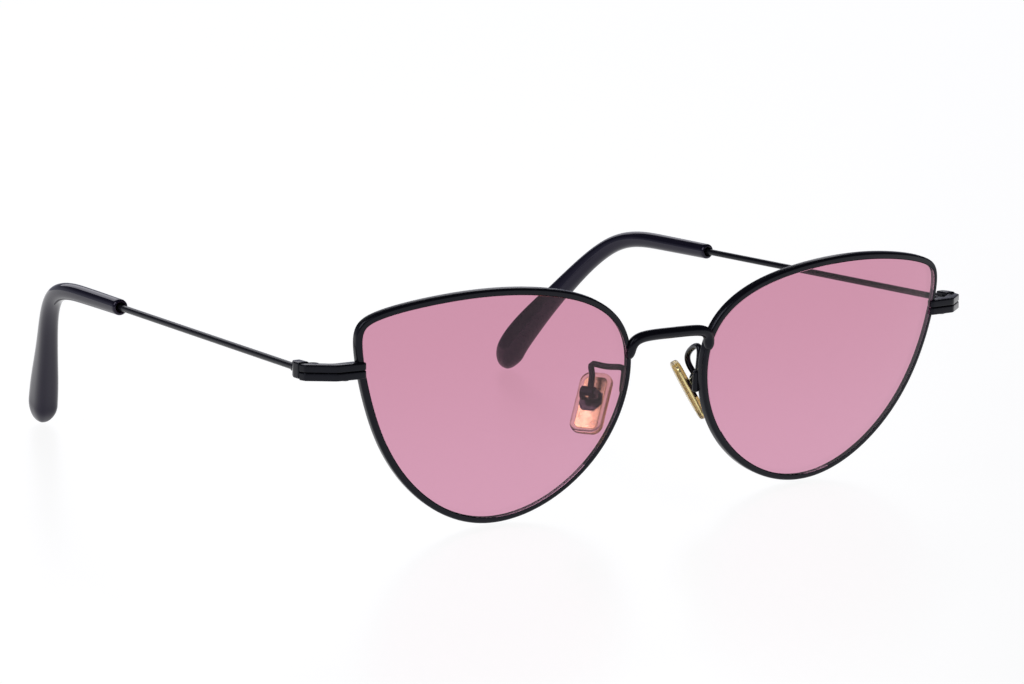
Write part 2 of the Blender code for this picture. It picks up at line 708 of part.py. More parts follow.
def pad_box(side_name, parent):
    """The box on the arm's end: a short barrel with a slot that takes the pad's tongue."""
    side = SIDES[side_name]
    box = cylinder(f"pad_box_{side_name}", BOX_RADIUS, -BOX_LENGTH / 2, BOX_LENGTH / 2, (0, 0), PARTS, BLACK,
                   parent, sides=20, along="Y")
    wall = BOX_RADIUS - BOX_BACK_WALL
    past = BOX_LENGTH / 2 + CUT_PAST
    low_x, high_x = side_span(side, -past, wall)
    slot = block(f"box_slot_{side_name}", (low_x, -BOX_SLOT / 2, -past), (high_x, BOX_SLOT / 2, past), CUTTERS,
                 parent=parent)
    bore = cylinder(f"box_bore_{side_name}", PAD_SCREW_RADIUS + RUNNING_CLEARANCE, -past, past, (0, 0), CUTTERS,
                    parent=parent, sides=14, along="Y")
    boolean(box, make_cutter(slot))
    boolean(box, make_cutter(bore))
    screw(f"pad_screw_{side_name}", (0, 0), PAD_SCREW_RADIUS, BOX_LENGTH / 2, -BOX_LENGTH / 2 - FINE_GAP,
          -BOX_LENGTH / 2 - FINE_GAP - PAD_HEAD_HEIGHT, PAD_HEAD_RADIUS, parent, along="Y")


def pad_core(side_name, parent):
    """The metal plate inside the pad, with the tongue that the pad screw passes through."""
    side = SIDES[side_name]
    width = PAD_WIDTH - 2 * (PAD_POCKET_MARGIN + CORE_GAP)
    height = PAD_LENGTH - 2 * (PAD_POCKET_MARGIN + CORE_GAP)
    near = PAD_REACH + PAD_POCKET_DEPTH - CORE_THICKNESS - CORE_GAP
    far = near + CORE_THICKNESS
    corner = PAD_CORNER - PAD_POCKET_MARGIN
    core = upright_plate(f"pad_core_{side_name}", width, height, corner, near, far, side, PAD_DROP, PARTS, GOLD,
                         parent)
    half = TONGUE_THICKNESS / 2
    eye = cylinder(f"tongue_eye_{side_name}", TONGUE_RADIUS, -half, half, (0, 0), CUTTERS, parent=parent,
                   along="Y")
    low_x, high_x = side_span(-side, 0.0, near + CORE_THICKNESS / 2)
    stem = block(f"tongue_stem_{side_name}", (low_x, -half, -TONGUE_HALF_WIDTH),
                 (high_x, half, TONGUE_HALF_WIDTH), CUTTERS, parent=parent)
    bore = cylinder(f"tongue_bore_{side_name}", PAD_SCREW_RADIUS + RUNNING_CLEARANCE, -half - CUT_PAST,
                    half + CUT_PAST, (0, 0), CUTTERS, parent=parent, sides=14, along="Y")
    boolean(core, make_cutter(stem), "UNION")
    boolean(core, make_cutter(eye), "UNION")
    boolean(core, make_cutter(bore))


def nose_pad(side_name, parent):
    """The soft pad: a rounded plate with a pocket in its back for the core."""
    side = SIDES[side_name]
    pad = upright_plate(f"nose_pad_{side_name}", PAD_WIDTH, PAD_LENGTH, PAD_CORNER, PAD_REACH,
                        PAD_REACH + PAD_THICKNESS, side, PAD_DROP, PARTS, SILICONE, parent)
    bevel(pad, PAD_EDGE)
    margin = 2 * PAD_POCKET_MARGIN
    corner = PAD_CORNER - PAD_POCKET_MARGIN
    pocket = upright_plate(f"pocket_cutter_{side_name}", PAD_WIDTH - margin, PAD_LENGTH - margin, corner,
                           PAD_REACH - CUT_PAST, PAD_REACH + PAD_POCKET_DEPTH, side, PAD_DROP, CUTTERS, None,
                           parent)
    boolean(pad, make_cutter(pocket))
    smooth(pad)


def nose_pad_assembly(side_name):
    """Pad arm and box on the front, and the pad that rocks on the pad screw."""
    side = SIDES[side_name]
    position = (side * PAD_PIVOT[0], PAD_PIVOT[1], PAD_PIVOT[2])
    axis = frame_empty(f"pad_axis_{side_name}", position, LEVEL_FRAME, (0, -side * PAD_LEAN, -side * PAD_SPLAY))
    pad_arm(side_name)
    pad_box(side_name, axis)
    pad_core(side_name, axis)
    nose_pad(side_name, axis)


# ---------------------------------------------------------------- build

def build():
    """Make every piece of the sunglasses."""
    for side_name in SIDES:
        holder = lens_frame(side_name)
        eyewire(side_name, holder)
        lens(side_name, holder)
    bridge()
    for side_name in SIDES:
        endpiece(side_name)
        temple(side_name)
        nose_pad_assembly(side_name)


clear_scene()
PARTS = new_collection("cat_eye_sunglasses")
CUTTERS = new_collection("cutters")
BLACK = finish("satin_black_metal", (0.012, 0.012, 0.015), 0.35, 0.6)
STEEL = finish("screw_steel", (0.05, 0.05, 0.055), 0.3, 0.9)
TINT = finish("pink_lens", (0.66, 0.33, 0.44), 0.05, 0.0, 0.45)
TIP = finish("gloss_black_tip", (0.01, 0.01, 0.014), 0.12, 0.0)
GOLD = finish("gold_insert", (0.9, 0.62, 0.25), 0.2, 1.0)
SILICONE = finish("clear_silicone", (0.92, 0.8, 0.72), 0.15, 0.0, 0.5)
LEVEL_FRAME = frame_empty("level_frame", (0, -DEPTH_TO_MIDDLE, LENS_DROP))
FRONT_FRAME = frame_empty("front_frame", (0, 0, 0), LEVEL_FRAME, (FRONT_TILT, 0, 0))
build()
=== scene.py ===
"""Cat eye sunglasses: the looks of a wire front with tinted lenses, rocking nose pads and folding temples.

Lengths are millimetres in the level frame, whose origin is midway between the lenses, and become metres
in the row frame when a mesh is made. X runs to the wearer's left, Y runs back along the temples, Z is up.
"""

import json
import logging
import math
from dataclasses import dataclass
from enum import Enum

import bpy
import numpy as np
from mathutils import Matrix


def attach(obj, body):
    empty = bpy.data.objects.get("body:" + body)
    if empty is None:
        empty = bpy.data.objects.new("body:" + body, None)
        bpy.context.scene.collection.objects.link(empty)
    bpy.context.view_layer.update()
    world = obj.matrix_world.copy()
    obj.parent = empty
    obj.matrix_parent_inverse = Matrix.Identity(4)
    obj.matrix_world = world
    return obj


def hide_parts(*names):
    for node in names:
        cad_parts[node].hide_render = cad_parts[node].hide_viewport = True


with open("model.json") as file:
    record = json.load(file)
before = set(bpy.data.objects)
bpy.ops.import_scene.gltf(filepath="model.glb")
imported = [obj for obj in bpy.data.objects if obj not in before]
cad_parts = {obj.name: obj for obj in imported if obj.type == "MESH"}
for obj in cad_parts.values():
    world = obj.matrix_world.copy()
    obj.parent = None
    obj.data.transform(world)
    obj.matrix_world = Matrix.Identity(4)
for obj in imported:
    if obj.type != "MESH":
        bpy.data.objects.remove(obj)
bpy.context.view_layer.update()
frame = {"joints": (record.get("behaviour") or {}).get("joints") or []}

LOG = logging.getLogger("sunglasses")
MM = 0.001

Array = np.ndarray
Colour = tuple[float, float, float]
Point = tuple[float, float, float]
Flat = tuple[float, float]


# ---------------------------------------------------------------- choices

class Side(Enum):
    """One side of the wearer's face, as the sign of X."""

    LEFT = 1
    RIGHT = -1

    @property
    def label(self) -> str:
        """The side's name in lower case."""
        return self.name.lower()


class Slot(Enum):
    """The record's material slots."""

    BLACK = "frame_black"
    STEEL = "screw_steel"
    TINT = "lens_tint"
    TIP = "tip_black"
    GOLD = "pad_insert_gold"
    SILICONE = "pad_silicone"


class Ends(Enum):
    """How the first and last ring of a skin are finished."""

    JOINED = "joined"
    POLE = "pole"
    FLAT = "flat"


class Form(Enum):
    """What a shader socket carries."""

    VALUE = "value"
    VECTOR = "vector"
    COLOUR = "colour"


# ---------------------------------------------------------------- frames and lines

def unit(vectors: Array) -> Array:
    """Vectors scaled to a length of one."""
    vectors = np.asarray(vectors, float)
    return vectors / np.linalg.norm(vectors, axis=-1, keepdims=True)


def turn(axis: int, degrees: float) -> Array:
    """Rotation matrix about X, Y or Z (axis 0, 1 or 2).

    Args:
        axis: 0, 1 or 2 for X, Y or Z.
        degrees: the angle.

    Returns:
        The 3 by 3 matrix.
    """
    cosine, sine = math.cos(math.radians(degrees)), math.sin(math.radians(degrees))
    first, second = ((1, 2), (2, 0), (0, 1))[axis]
    made = np.eye(3)
    made[first, first] = made[second, second] = cosine
    made[first, second], made[second, first] = -sine, sine
    return made


@dataclass(frozen=True)
class Place:
    """A turned and shifted frame inside another."""

    rotation: Array
    origin: Array

    def points(self, local: Array) -> Array:
        """Local points, taken to the outer frame."""
        return np.asarray(local, float) @ self.rotation.T + self.origin

    def within(self, inner: "Place") -> "Place":
        """The frame that lies at inner, seen from outside this one."""
        return Place(self.rotation @ inner.rotation, self.rotation @ inner.origin + self.origin)


def placed(origin: Point, *rotations: Array) -> Place:
    """A frame at an origin, its rotations multiplied in the order given.

    Args:
        origin: where the frame lies.
        rotations: 3 by 3 matrices, outermost first.

    Returns:
        The frame.
    """
    total = np.eye(3)
    for rotation in rotations:
        total = total @ rotation
    return Place(total, np.array(origin, float))


def spline(control: Array, steps: int, closed: bool = False) -> Array:
    """Points of a uniform cubic B-spline.

    Each span blends four control points with a sixth of the weights (1-t)^3, 3t^3-6t^2+4,
    -3t^3+3t^2+3t+1 and t^3.

    Args:
        control: control points, in any number of dimensions.
        steps: points made on each span.
        closed: True for a loop; an open curve starts and ends on its end points.

    Returns:
        The points in order.
    """
    control = np.asarray(control, float)
    if closed:
        padded = np.vstack([control, control[:3]])
    else:
        padded = np.vstack([2 * control[0] - control[1], control, 2 * control[-1] - control[-2]])
    t = np.arange(steps) / steps
    weights = np.stack([
        (1 - t) ** 3, 3 * t ** 3 - 6 * t ** 2 + 4, -3 * t ** 3 + 3 * t ** 2 + 3 * t + 1, t ** 3], 1) / 6
    windows = padded[np.arange(len(padded) - 3)[:, None] + np.arange(4)]
    made = np.einsum("tk,skd->std", weights, windows).reshape(-1, control.shape[1])
    return made if closed else np.vstack([made, control[-1]])


@dataclass(frozen=True)
class Line:
    """A smooth route given by close points."""

    route: Array

    @property
    def marks(self) -> Array:
        """Distance along the route at each of its points."""
        steps = np.linalg.norm(np.diff(self.route, axis=0), axis=1)
        return np.concatenate([[0.0], np.cumsum(steps)])

    @property
    def length(self) -> float:
        """Length of the whole route."""
        return float(self.marks[-1])

    def at(self, distance: Array) -> Array:
        """Points at distances along the route."""
        marks = self.marks
        return np.stack([np.interp(distance, marks, column) for column in self.route.T], -1)

    def tangent(self, distance: Array, reach: float = 0.25) -> Array:
        """Unit directions at distances along the route: chords between points reach behind and ahead."""
        ahead = self.at(np.clip(distance + reach, 0, self.length))
        return unit(ahead - self.at(np.clip(distance - reach, 0, self.length)))


def square_axes(tangent: Array, reference: Array | None = None) -> tuple[Array, Array]:
    """Two unit vectors square to each tangent and to each other.

    Args:
        tangent: unit directions along a route.
        reference: direction that the first axis follows; by default the one of a cube's 26 that stays
            furthest from every tangent.

    Returns:
        The reference made square to each tangent, and its cross product with the tangent.
    """
    if reference is None:
        steps = np.linspace(-1, 1, 3)
        candidates = np.array(np.meshgrid(steps, steps, steps)).reshape(3, -1).T
        candidates = unit(candidates[np.any(candidates != 0, axis=1)])
        reference = candidates[np.abs(candidates @ tangent.T).max(axis=1).argmin()]
    across = unit(reference - tangent * (tangent @ reference)[:, None])
    return across, np.cross(across, tangent)


# ---------------------------------------------------------------- solids

@dataclass(frozen=True)
class Solid:
    """A closed surface: its points, and groups of faces that have the same number of corners."""

    points: Array
    faces: tuple[Array, ...]

    def outward(self) -> "Solid":
        """The same surface facing outwards: its volume, a signed sum of tetrahedra, is made positive.

        Returns:
            This solid, or one with every face turned over.
        """
        corners = [self.points[group] for group in self.faces]
        volume = sum(float(np.sum(np.cross(c[:, 1:-1], c[:, 2:]) * c[:, :1])) for c in corners)
        return self if volume > 0 else Solid(self.points, tuple(group[:, ::-1] for group in self.faces))

    def at(self, place: Place) -> "Solid":
        """The solid taken to another frame."""
        return Solid(place.points(self.points), self.faces)


def joined(*solids: Solid) -> Solid:
    """Several solids as one set of points and faces.

    Args:
        solids: what is put together.

    Returns:
        One solid with all their faces.
    """
    starts = np.cumsum([0] + [len(solid.points) for solid in solids])
    faces = tuple(group + start for solid, start in zip(solids, starts) for group in solid.faces)
    return Solid(np.vstack([solid.points for solid in solids]), faces)


def skin(grid: Array, ends: Ends = Ends.POLE) -> Solid:
    """A surface over a grid of rings, each of which closes on itself.

    Args:
        grid: points by ring, place in the ring, and axis.
        ends: the end rings joined to each other, closed by a pole at their mean point, or closed flat.

    Returns:
        The closed solid, facing outwards.
    """
    rows, columns = grid.shape[:2]
    index = np.arange(rows * columns).reshape(rows, columns)
    points = grid.reshape(-1, 3)
    if ends is Ends.JOINED:
        index = np.vstack([index, index[:1]])
    beside = np.roll(index, -1, axis=1)
    quads = np.stack([index[:-1], beside[:-1], beside[1:], index[1:]], -1).reshape(-1, 4)
    if ends is Ends.JOINED:
        return Solid(points, (quads,)).outward()
    if ends is Ends.FLAT:
        return Solid(points, (quads, np.stack([index[0, ::-1], index[-1]]))).outward()
    first, last = np.full(columns, len(points)), np.full(columns, len(points) + 1)
    start_fan = np.stack([beside[0], index[0], first], -1)
    end_fan = np.stack([index[-1], beside[-1], last], -1)
    fans = np.vstack([start_fan, end_fan])
    return Solid(np.vstack([points, grid[0].mean(0), grid[-1].mean(0)]), (quads, fans)).outward()


def rounded(corners: Array, radius: Array | float, steps: int = 6) -> Array:
    """A closed outline whose corners are circular arcs.

    With unit vectors a and b to a corner's neighbours and half the angle between them h, the arc's centre
    lies r / sin h along a + b and its ends lie r / tan h along a and b; the arc turns evenly between them.

    Args:
        corners: corner points in order.
        radius: one radius, or one for each corner.
        steps: pieces in each arc.

    Returns:
        The outline's points.
    """
    corners = np.asarray(corners, float)
    radius = np.broadcast_to(np.asarray(radius, float), len(corners))[:, None]
    to_last = unit(np.roll(corners, 1, axis=0) - corners)
    to_next = unit(np.roll(corners, -1, axis=0) - corners)
    half = np.arccos(np.clip(np.sum(to_last * to_next, axis=1), -1, 1))[:, None] / 2
    centre = corners + unit(to_last + to_next) * radius / np.sin(half)
    start = corners + to_last * radius / np.tan(half) - centre
    stop = corners + to_next * radius / np.tan(half) - centre
    sweep = (np.pi - 2 * half)[:, None]
    t = (np.arange(steps + 1) / steps)[None, :, None]
    arcs = (np.sin((1 - t) * sweep) * start[:, None] + np.sin(t * sweep) * stop[:, None]) / np.sin(sweep)
    return (centre[:, None] + arcs).reshape(-1, 2)


def normals(outline: Array) -> Array:
    """Unit normals of a closed outline, pointing out of it.

    Args:
        outline: points in order, either way round.

    Returns:
        One normal for each point.
    """
    along = unit(np.roll(outline, -1, axis=0) - np.roll(outline, 1, axis=0))
    x, y = outline.T
    area = np.sum(x * np.roll(y, -1) - y * np.roll(x, -1))
    return np.column_stack([along[:, 1], -along[:, 0]]) * np.sign(area)


def circle(radius: float, sides: int = 40, centre: Flat = (0.0, 0.0)) -> Array:
    """Points round a circle."""
    angle = np.arange(sides) * 2 * np.pi / sides
    return np.column_stack([np.cos(angle), np.sin(angle)]) * radius + np.array(centre)


def slab(outline: Array, bottom: float, top: float, edge: float, crown: float = 0.0) -> Solid:
    """A flat outline given a height, with quarter-round rims.

    A rim ring at angle a lies edge (1 - sin a) inside the outline and edge (1 - cos a) from the face.

    Args:
        outline: closed outline in plan.
        bottom: height of the lower face.
        top: height of the upper face.
        edge: radius of both rims.
        crown: rise of the upper face at its middle, as a paraboloid; 0 leaves it flat.

    Returns:
        The closed solid.
    """
    angle = np.linspace(0, np.pi / 2, 5)
    inset = edge * (1 - np.sin(angle))
    rise = edge * (1 - np.cos(angle))
    insets = np.concatenate([inset, inset[::-1]])
    heights = np.concatenate([bottom + rise, (top - rise)[::-1]])
    rings = outline[None] - normals(outline)[None] * insets[:, None, None]
    grid = np.dstack([rings, np.broadcast_to(heights[:, None], rings.shape[:2])])
    if crown == 0:
        return skin(grid, Ends.FLAT)
    share = np.linspace(1, 0.04, 14)[1:]
    middle = outline.mean(0)
    face = middle + (rings[-1] - middle)[None] * share[:, None, None]
    height = top + crown * (1 - share ** 2)
    cap = np.dstack([face, np.broadcast_to(height[:, None], face.shape[:2])])
    base = np.dstack([face[::-1], np.full(face.shape[:2], bottom)])
    return skin(np.vstack([base, grid, cap]))


def turned(profile: Array, ends: Ends = Ends.POLE, sides: int = 40) -> Solid:
    """A profile of (radius, height) pairs turned about the Z axis.

    Args:
        profile: the pairs, in order along the surface.
        ends: how its two ends are closed.
        sides: sides of each ring.

    Returns:
        The closed solid.
    """
    profile = np.asarray(profile, float)
    ring = circle(1.0, sides)
    flat = profile[:, None, :1] * ring[None]
    return skin(np.dstack([flat, np.broadcast_to(profile[:, 1:], flat.shape[:2])]), ends)


def rod(line: Line, radius: float, end_round: float, sides: int = 28, step: float = 0.45) -> Solid:
    """A round bar along a route.

    Its radius is full but for a stretch at each end, where it is r - d (1 - sqrt(1 - q^2)) as q goes from 0
    to 1 and d is the stretch, or nine tenths of r if that is less.

    Args:
        line: the bar's centre line.
        radius: its radius.
        end_round: length of the rounded stretch.
        sides: sides of each ring.
        step: spacing of the rings.

    Returns:
        The closed solid.
    """
    ending = end_round * (1 - np.sin(np.linspace(np.pi / 2, 0, 7)))
    count = max(3, int((line.length - 2 * end_round) / step))
    middle = np.linspace(end_round, line.length - end_round, count)[1:-1]
    stations = np.concatenate([ending, middle, line.length - ending[::-1]])
    q = np.clip(1 - np.minimum(stations, line.length - stations) / end_round, 0, 1)
    size = radius - min(end_round, 0.9 * radius) * (1 - np.sqrt(1 - q ** 2))
    across, upward = square_axes(line.tangent(stations))
    ring = circle(1.0, sides)
    spread = ring[None, :, :1] * across[:, None] + ring[None, :, 1:] * upward[:, None]
    return skin(line.at(stations)[:, None] + spread * size[:, None, None])


def straight(start: Point, stop: Point) -> Line:
    """A straight route between two points."""
    return Line(np.linspace(start, stop, 9))


def slotted_head(radius: float, height: float, gap: float, depth: float) -> Solid:
    """A round screw head standing on Z = 0, cut across by a driver slot: a disc under two circle segments.

    Args:
        radius: the head's radius.
        height: its height.
        gap: the slot's width.
        depth: the slot's depth.

    Returns:
        The head, its top at the height.
    """
    disc = slab(circle(radius), 0.0, height - depth, 0.03)
    start = math.asin(gap / 2 / radius)
    angle = np.linspace(start, np.pi - start, 24)
    segment = np.column_stack([np.cos(angle), np.sin(angle)]) * radius
    upper = slab(segment, height - depth - 0.02, height, 0.07)
    return joined(disc, upper, slab(-segment, height - depth - 0.02, height, 0.07))


# ---------------------------------------------------------------- shader graph

class Wire:
    """A shader socket that plain arithmetic works on."""

    def __init__(self, graph: "Graph", socket: bpy.types.NodeSocket, form: Form) -> None:
        """Wraps a socket of a graph."""
        self.graph, self.socket, self.form = graph, socket, form

    def _worked(self, operation: str, first: "Wire | float", second: "Wire | float | Point") -> "Wire":
        """The operation as a Math, Vector Math or Mix node, whichever suits what is carried.

        Args:
            operation: the node's own name for it.
            first: the first term.
            second: the second term.

        Returns:
            The result.
        """
        if self.form is Form.COLOUR:
            settings = {"data_type": "RGBA", "blend_type": operation}
            return self.graph.node("ShaderNodeMix", settings, {0: 1.0, 6: first, 7: second}, 2, Form.COLOUR)
        kind = "ShaderNodeMath" if self.form is Form.VALUE else "ShaderNodeVectorMath"
        return self.graph.node(kind, {"operation": operation}, {0: first, 1: second}, form=self.form)

    def __add__(self, other: "Wire | float") -> "Wire":
        """Sum."""
        return self._worked("ADD", self, other)

    def __radd__(self, other: float) -> "Wire":
        """Sum with a number before it."""
        return self._worked("ADD", other, self)

    def __sub__(self, other: "Wire | float") -> "Wire":
        """Difference."""
        return self._worked("SUBTRACT", self, other)

    def __rsub__(self, other: float) -> "Wire":
        """A number less this."""
        return self._worked("SUBTRACT", other, self)

    def __mul__(self, other: "Wire | float | Point") -> "Wire":
        """Product; a vector takes a factor for each axis."""
        return self._worked("MULTIPLY", self, other)

    def __rmul__(self, other: float) -> "Wire":
        """Product with a number before it."""
        return self._worked("MULTIPLY", other, self)

    def step(self, low: float, high: float) -> "Wire":
        """A smooth step from 0 at low to 1 at high."""
        inputs = {"Value": self, "From Min": low, "From Max": high}
        return self.graph.node("ShaderNodeMapRange", {"interpolation_type": "SMOOTHSTEP"}, inputs)

    def between(self, first: "Wire | Colour", second: Colour) -> "Wire":
        """The colour this share of the way from first to second."""
        inputs = {0: self, 6: first if isinstance(first, Wire) else (*first, 1.0), 7: (*second, 1.0)}
        return self.graph.node("ShaderNodeMix", {"data_type": "RGBA"}, inputs, 2, Form.COLOUR)

    def part(self, axis: str) -> "Wire":
        """One component of a vector."""
        return self.graph.node("ShaderNodeSeparateXYZ", {}, {0: self}, axis)


class Graph:
    """A node tree that is built by calls."""

    def __init__(self, tree: bpy.types.NodeTree) -> None:
        """Empties the tree."""
        self.tree = tree
        tree.nodes.clear()

    def node(
        self, kind: str, settings: dict, inputs: dict, output: int | str = 0, form: Form = Form.VALUE,
    ) -> Wire:
        """Adds one node.

        Args:
            kind: the node's type.
            settings: properties, set before the inputs.
            inputs: constants, or wires to link, by socket name or number.
            output: the socket to return.
            form: what that socket carries.

        Returns:
            The output as a wire.
        """
        made = self.tree.nodes.new(kind)
        for name, value in settings.items():
            setattr(made, name, value)
        for key, value in inputs.items():
            if isinstance(value, Wire):
                self.tree.links.new(value.socket, made.inputs[key])
            else:
                made.inputs[key].default_value = value
        return Wire(self, made.outputs[output], form)

    def millimetres(self) -> Wire:
        """The point on the piece, in millimetres of its own object coordinates.

        Returns:
            A vector.
        """
        place = self.node("ShaderNodeTexCoord", {}, {}, "Object", Form.VECTOR)
        inputs = {0: place, "Scale": 1000.0}
        return self.node("ShaderNodeVectorMath", {"operation": "SCALE"}, inputs, form=Form.VECTOR)

    def noise(self, place: Wire, per_mm: float, detail: float = 2.0) -> Wire:
        """Smooth noise from 0 to 1, with that many features to a millimetre."""
        return self.node("ShaderNodeTexNoise", {}, {"Vector": place, "Scale": per_mm, "Detail": detail})

    def cells(self, place: Wire, per_mm: float) -> Wire:
        """Distance to the nearest of scattered points, which makes specks when it is small."""
        return self.node("ShaderNodeTexVoronoi", {}, {"Vector": place, "Scale": per_mm})

    def bump(self, height: Wire, depth_mm: float) -> Wire:
        """A normal bent by a height from 0 to 1 that stands for that depth."""
        inputs = {"Height": height, "Distance": depth_mm * MM, "Strength": 1.0}
        return self.node("ShaderNodeBump", {}, inputs, form=Form.VECTOR)

    def surface(self, inputs: dict, inside: Wire | None = None) -> None:
        """A Principled shader, and what fills the piece if it is given, linked to a new output.

        Args:
            inputs: values or wires by socket name.
            inside: a volume shader for the space the piece encloses.
        """
        made = self.tree.nodes.new("ShaderNodeOutputMaterial")
        shader = self.node("ShaderNodeBsdfPrincipled", {}, inputs)
        self.tree.links.new(shader.socket, made.inputs["Surface"])
        if inside is not None:
            self.tree.links.new(inside.socket, made.inputs["Volume"])


def new_material(name: str) -> tuple[bpy.types.Material, Graph]:
    """An empty node material and its graph.

    Args:
        name: what the material is called.

    Returns:
        The material and the graph of its nodes.
    """
    made = bpy.data.materials.new(name)
    made.use_nodes = True
    return made, Graph(made.node_tree)


# ---------------------------------------------------------------- finishes

@dataclass(frozen=True)
class Lacquer:
    """Black paint over metal: a satin coat with orange peel, mottled gloss and fine rub marks."""

    name: str = "satin_black_lacquer"
    colour: Colour = (0.0028, 0.0028, 0.0042)
    worn: Colour = (0.0065, 0.006, 0.0085)
    sheen: Colour = (0.80, 0.83, 1.0)
    roughness: float = 0.2
    peel_depth: float = 0.0035

    def make(self) -> bpy.types.Material:
        """The material: soft mottling in colour and gloss, peel and rub marks in the bump.

        Returns:
            The finished material.
        """
        material, graph = new_material(self.name)
        place = graph.millimetres()
        mottle = graph.noise(place, 0.45, 3.0)
        rubs = graph.noise(place * (2.2, 0.5, 9.0), 1.0, 4.0).step(0.58, 0.72)
        peel = graph.noise(place, 2.6, 2.0)
        graph.surface({
            "Base Color": (mottle * 0.7 + rubs * 0.3).between(self.colour, self.worn),
            "Roughness": mottle * 0.10 + rubs * 0.06 + (self.roughness - 0.05),
            "Specular IOR Level": 0.5,
            "Specular Tint": (*self.sheen, 1.0),
            "IOR": 1.3,
            "Normal": graph.bump(peel * 0.8 + rubs * 0.2, self.peel_depth),
        })
        return material


@dataclass(frozen=True)
class Tint:
    """Clear plastic dyed pink, a little deeper at the top, with faint wiping haze."""

    name: str = "pink_lens_tint"
    lower: Colour = (0.655, 0.328, 0.448)
    upper: Colour = (0.61, 0.285, 0.392)
    refraction: float = 1.3

    def make(self) -> bpy.types.Material:
        """The material: transmission coloured by height, roughness varied by smears and dust.

        Returns:
            The finished material.
        """
        material, graph = new_material(self.name)
        place = graph.millimetres()
        smear = graph.noise(place * (0.12, 0.12, 0.4), 1.0, 4.0)
        dust = 1.0 - graph.cells(place, 0.35).step(0.0, 0.06)
        graph.surface({
            "Base Color": place.part("Z").step(2.0, 44.0).between(self.lower, self.upper),
            "Roughness": smear.step(0.55, 0.9) * 0.012 + dust * 0.05,
            "IOR": self.refraction,
            "Transmission Weight": 1.0,
        })
        return material


@dataclass(frozen=True)
class GlossPlastic:
    """Polished black acetate: deep gloss, long moulding waves and hairline scratches."""

    name: str = "gloss_black_plastic"
    colour: Colour = (0.0045, 0.004, 0.0095)
    handled: Colour = (0.008, 0.007, 0.014)
    sheen: Colour = (0.82, 0.77, 1.0)
    roughness: float = 0.07
    wave_depth: float = 0.004

    def make(self) -> bpy.types.Material:
        """The material: gloss broken by handling haze, bump of slow waves and hairlines.

        Returns:
            The finished material.
        """
        material, graph = new_material(self.name)
        place = graph.millimetres()
        haze = graph.noise(place, 0.22, 4.0)
        hairline = graph.noise(place * (6.0, 0.35, 3.0), 1.4, 3.0).step(0.62, 0.7)
        waves = graph.noise(place, 0.35, 1.0)
        graph.surface({
            "Base Color": haze.between(self.colour, self.handled),
            "Roughness": haze.step(0.45, 0.8) * 0.07 + hairline * 0.05 + self.roughness,
            "Specular IOR Level": 0.5,
            "Specular Tint": (*self.sheen, 1.0),
            "IOR": 1.42,
            "Normal": graph.bump(waves + hairline * 0.02, self.wave_depth),
        })
        return material


@dataclass(frozen=True)
class Metal:
    """Bare metal with a fine lengthwise grain."""

    name: str
    colour: Colour
    roughness: float
    grain: Point
    grain_depth: float = 0.002

    def make(self) -> bpy.types.Material:
        """The material: grain in the bump and gloss, tarnish in the colour.

        Returns:
            The finished material.
        """
        material, graph = new_material(self.name)
        place = graph.millimetres()
        grain = graph.noise(place * self.grain, 1.0, 3.0)
        tarnish = graph.noise(place, 0.6, 3.0).step(0.35, 0.85)
        dull = tuple(part * 0.8 for part in self.colour)
        graph.surface({
            "Base Color": tarnish.between(self.colour, dull),
            "Roughness": grain * 0.12 + tarnish * 0.06 + self.roughness,
            "Metallic": 1.0,
            "Normal": graph.bump(grain, self.grain_depth),
        })
        return material


@dataclass(frozen=True)
class Silicone:
    """Clear silicone, warm with age, with a satin moulded skin."""

    name: str = "clear_silicone"
    colour: Colour = (1.0, 0.985, 0.96)
    aged: Colour = (0.99, 0.955, 0.89)
    depth: Colour = (0.80, 0.50, 0.0)
    density: float = 200.0
    roughness: float = 0.16

    def make(self) -> bpy.types.Material:
        """The material: transmission in two warm tones, amber in the depth, and a skin of fine pits.

        Returns:
            The finished material.
        """
        material, graph = new_material(self.name)
        inputs = {"Color": (*self.depth, 1.0), "Density": self.density}
        amber = graph.node("ShaderNodeVolumeAbsorption", {}, inputs)
        place = graph.millimetres()
        cloud = graph.noise(place, 0.3, 2.0)
        pits = graph.noise(place, 5.0, 2.0)
        graph.surface({
            "Base Color": cloud.step(0.3, 0.7).between(self.colour, self.aged),
            "Roughness": cloud * 0.08 + self.roughness,
            "IOR": 1.41,
            "Transmission Weight": 1.0,
            "Normal": graph.bump(pits, 0.002),
        }, amber)
        return material


@dataclass(frozen=True)
class Paper:
    """The pale floor: it glows almost white and takes only the faintest shadow and reflection."""

    name: str = "pale_floor"
    glow: float = 0.92
    colour: Colour = (0.04, 0.04, 0.042)

    def make(self) -> bpy.types.Material:
        """The material: an emissive sheet with a weak, slightly glossy body.

        Returns:
            The finished material.
        """
        material, graph = new_material(self.name)
        graph.surface({
            "Base Color": (*self.colour, 1.0),
            "Roughness": 0.3,
            "Specular IOR Level": 0.07,
            "Emission Color": (1.0, 1.0, 1.0, 1.0),
            "Emission Strength": self.glow,
        })
        return material


# ---------------------------------------------------------------- pieces

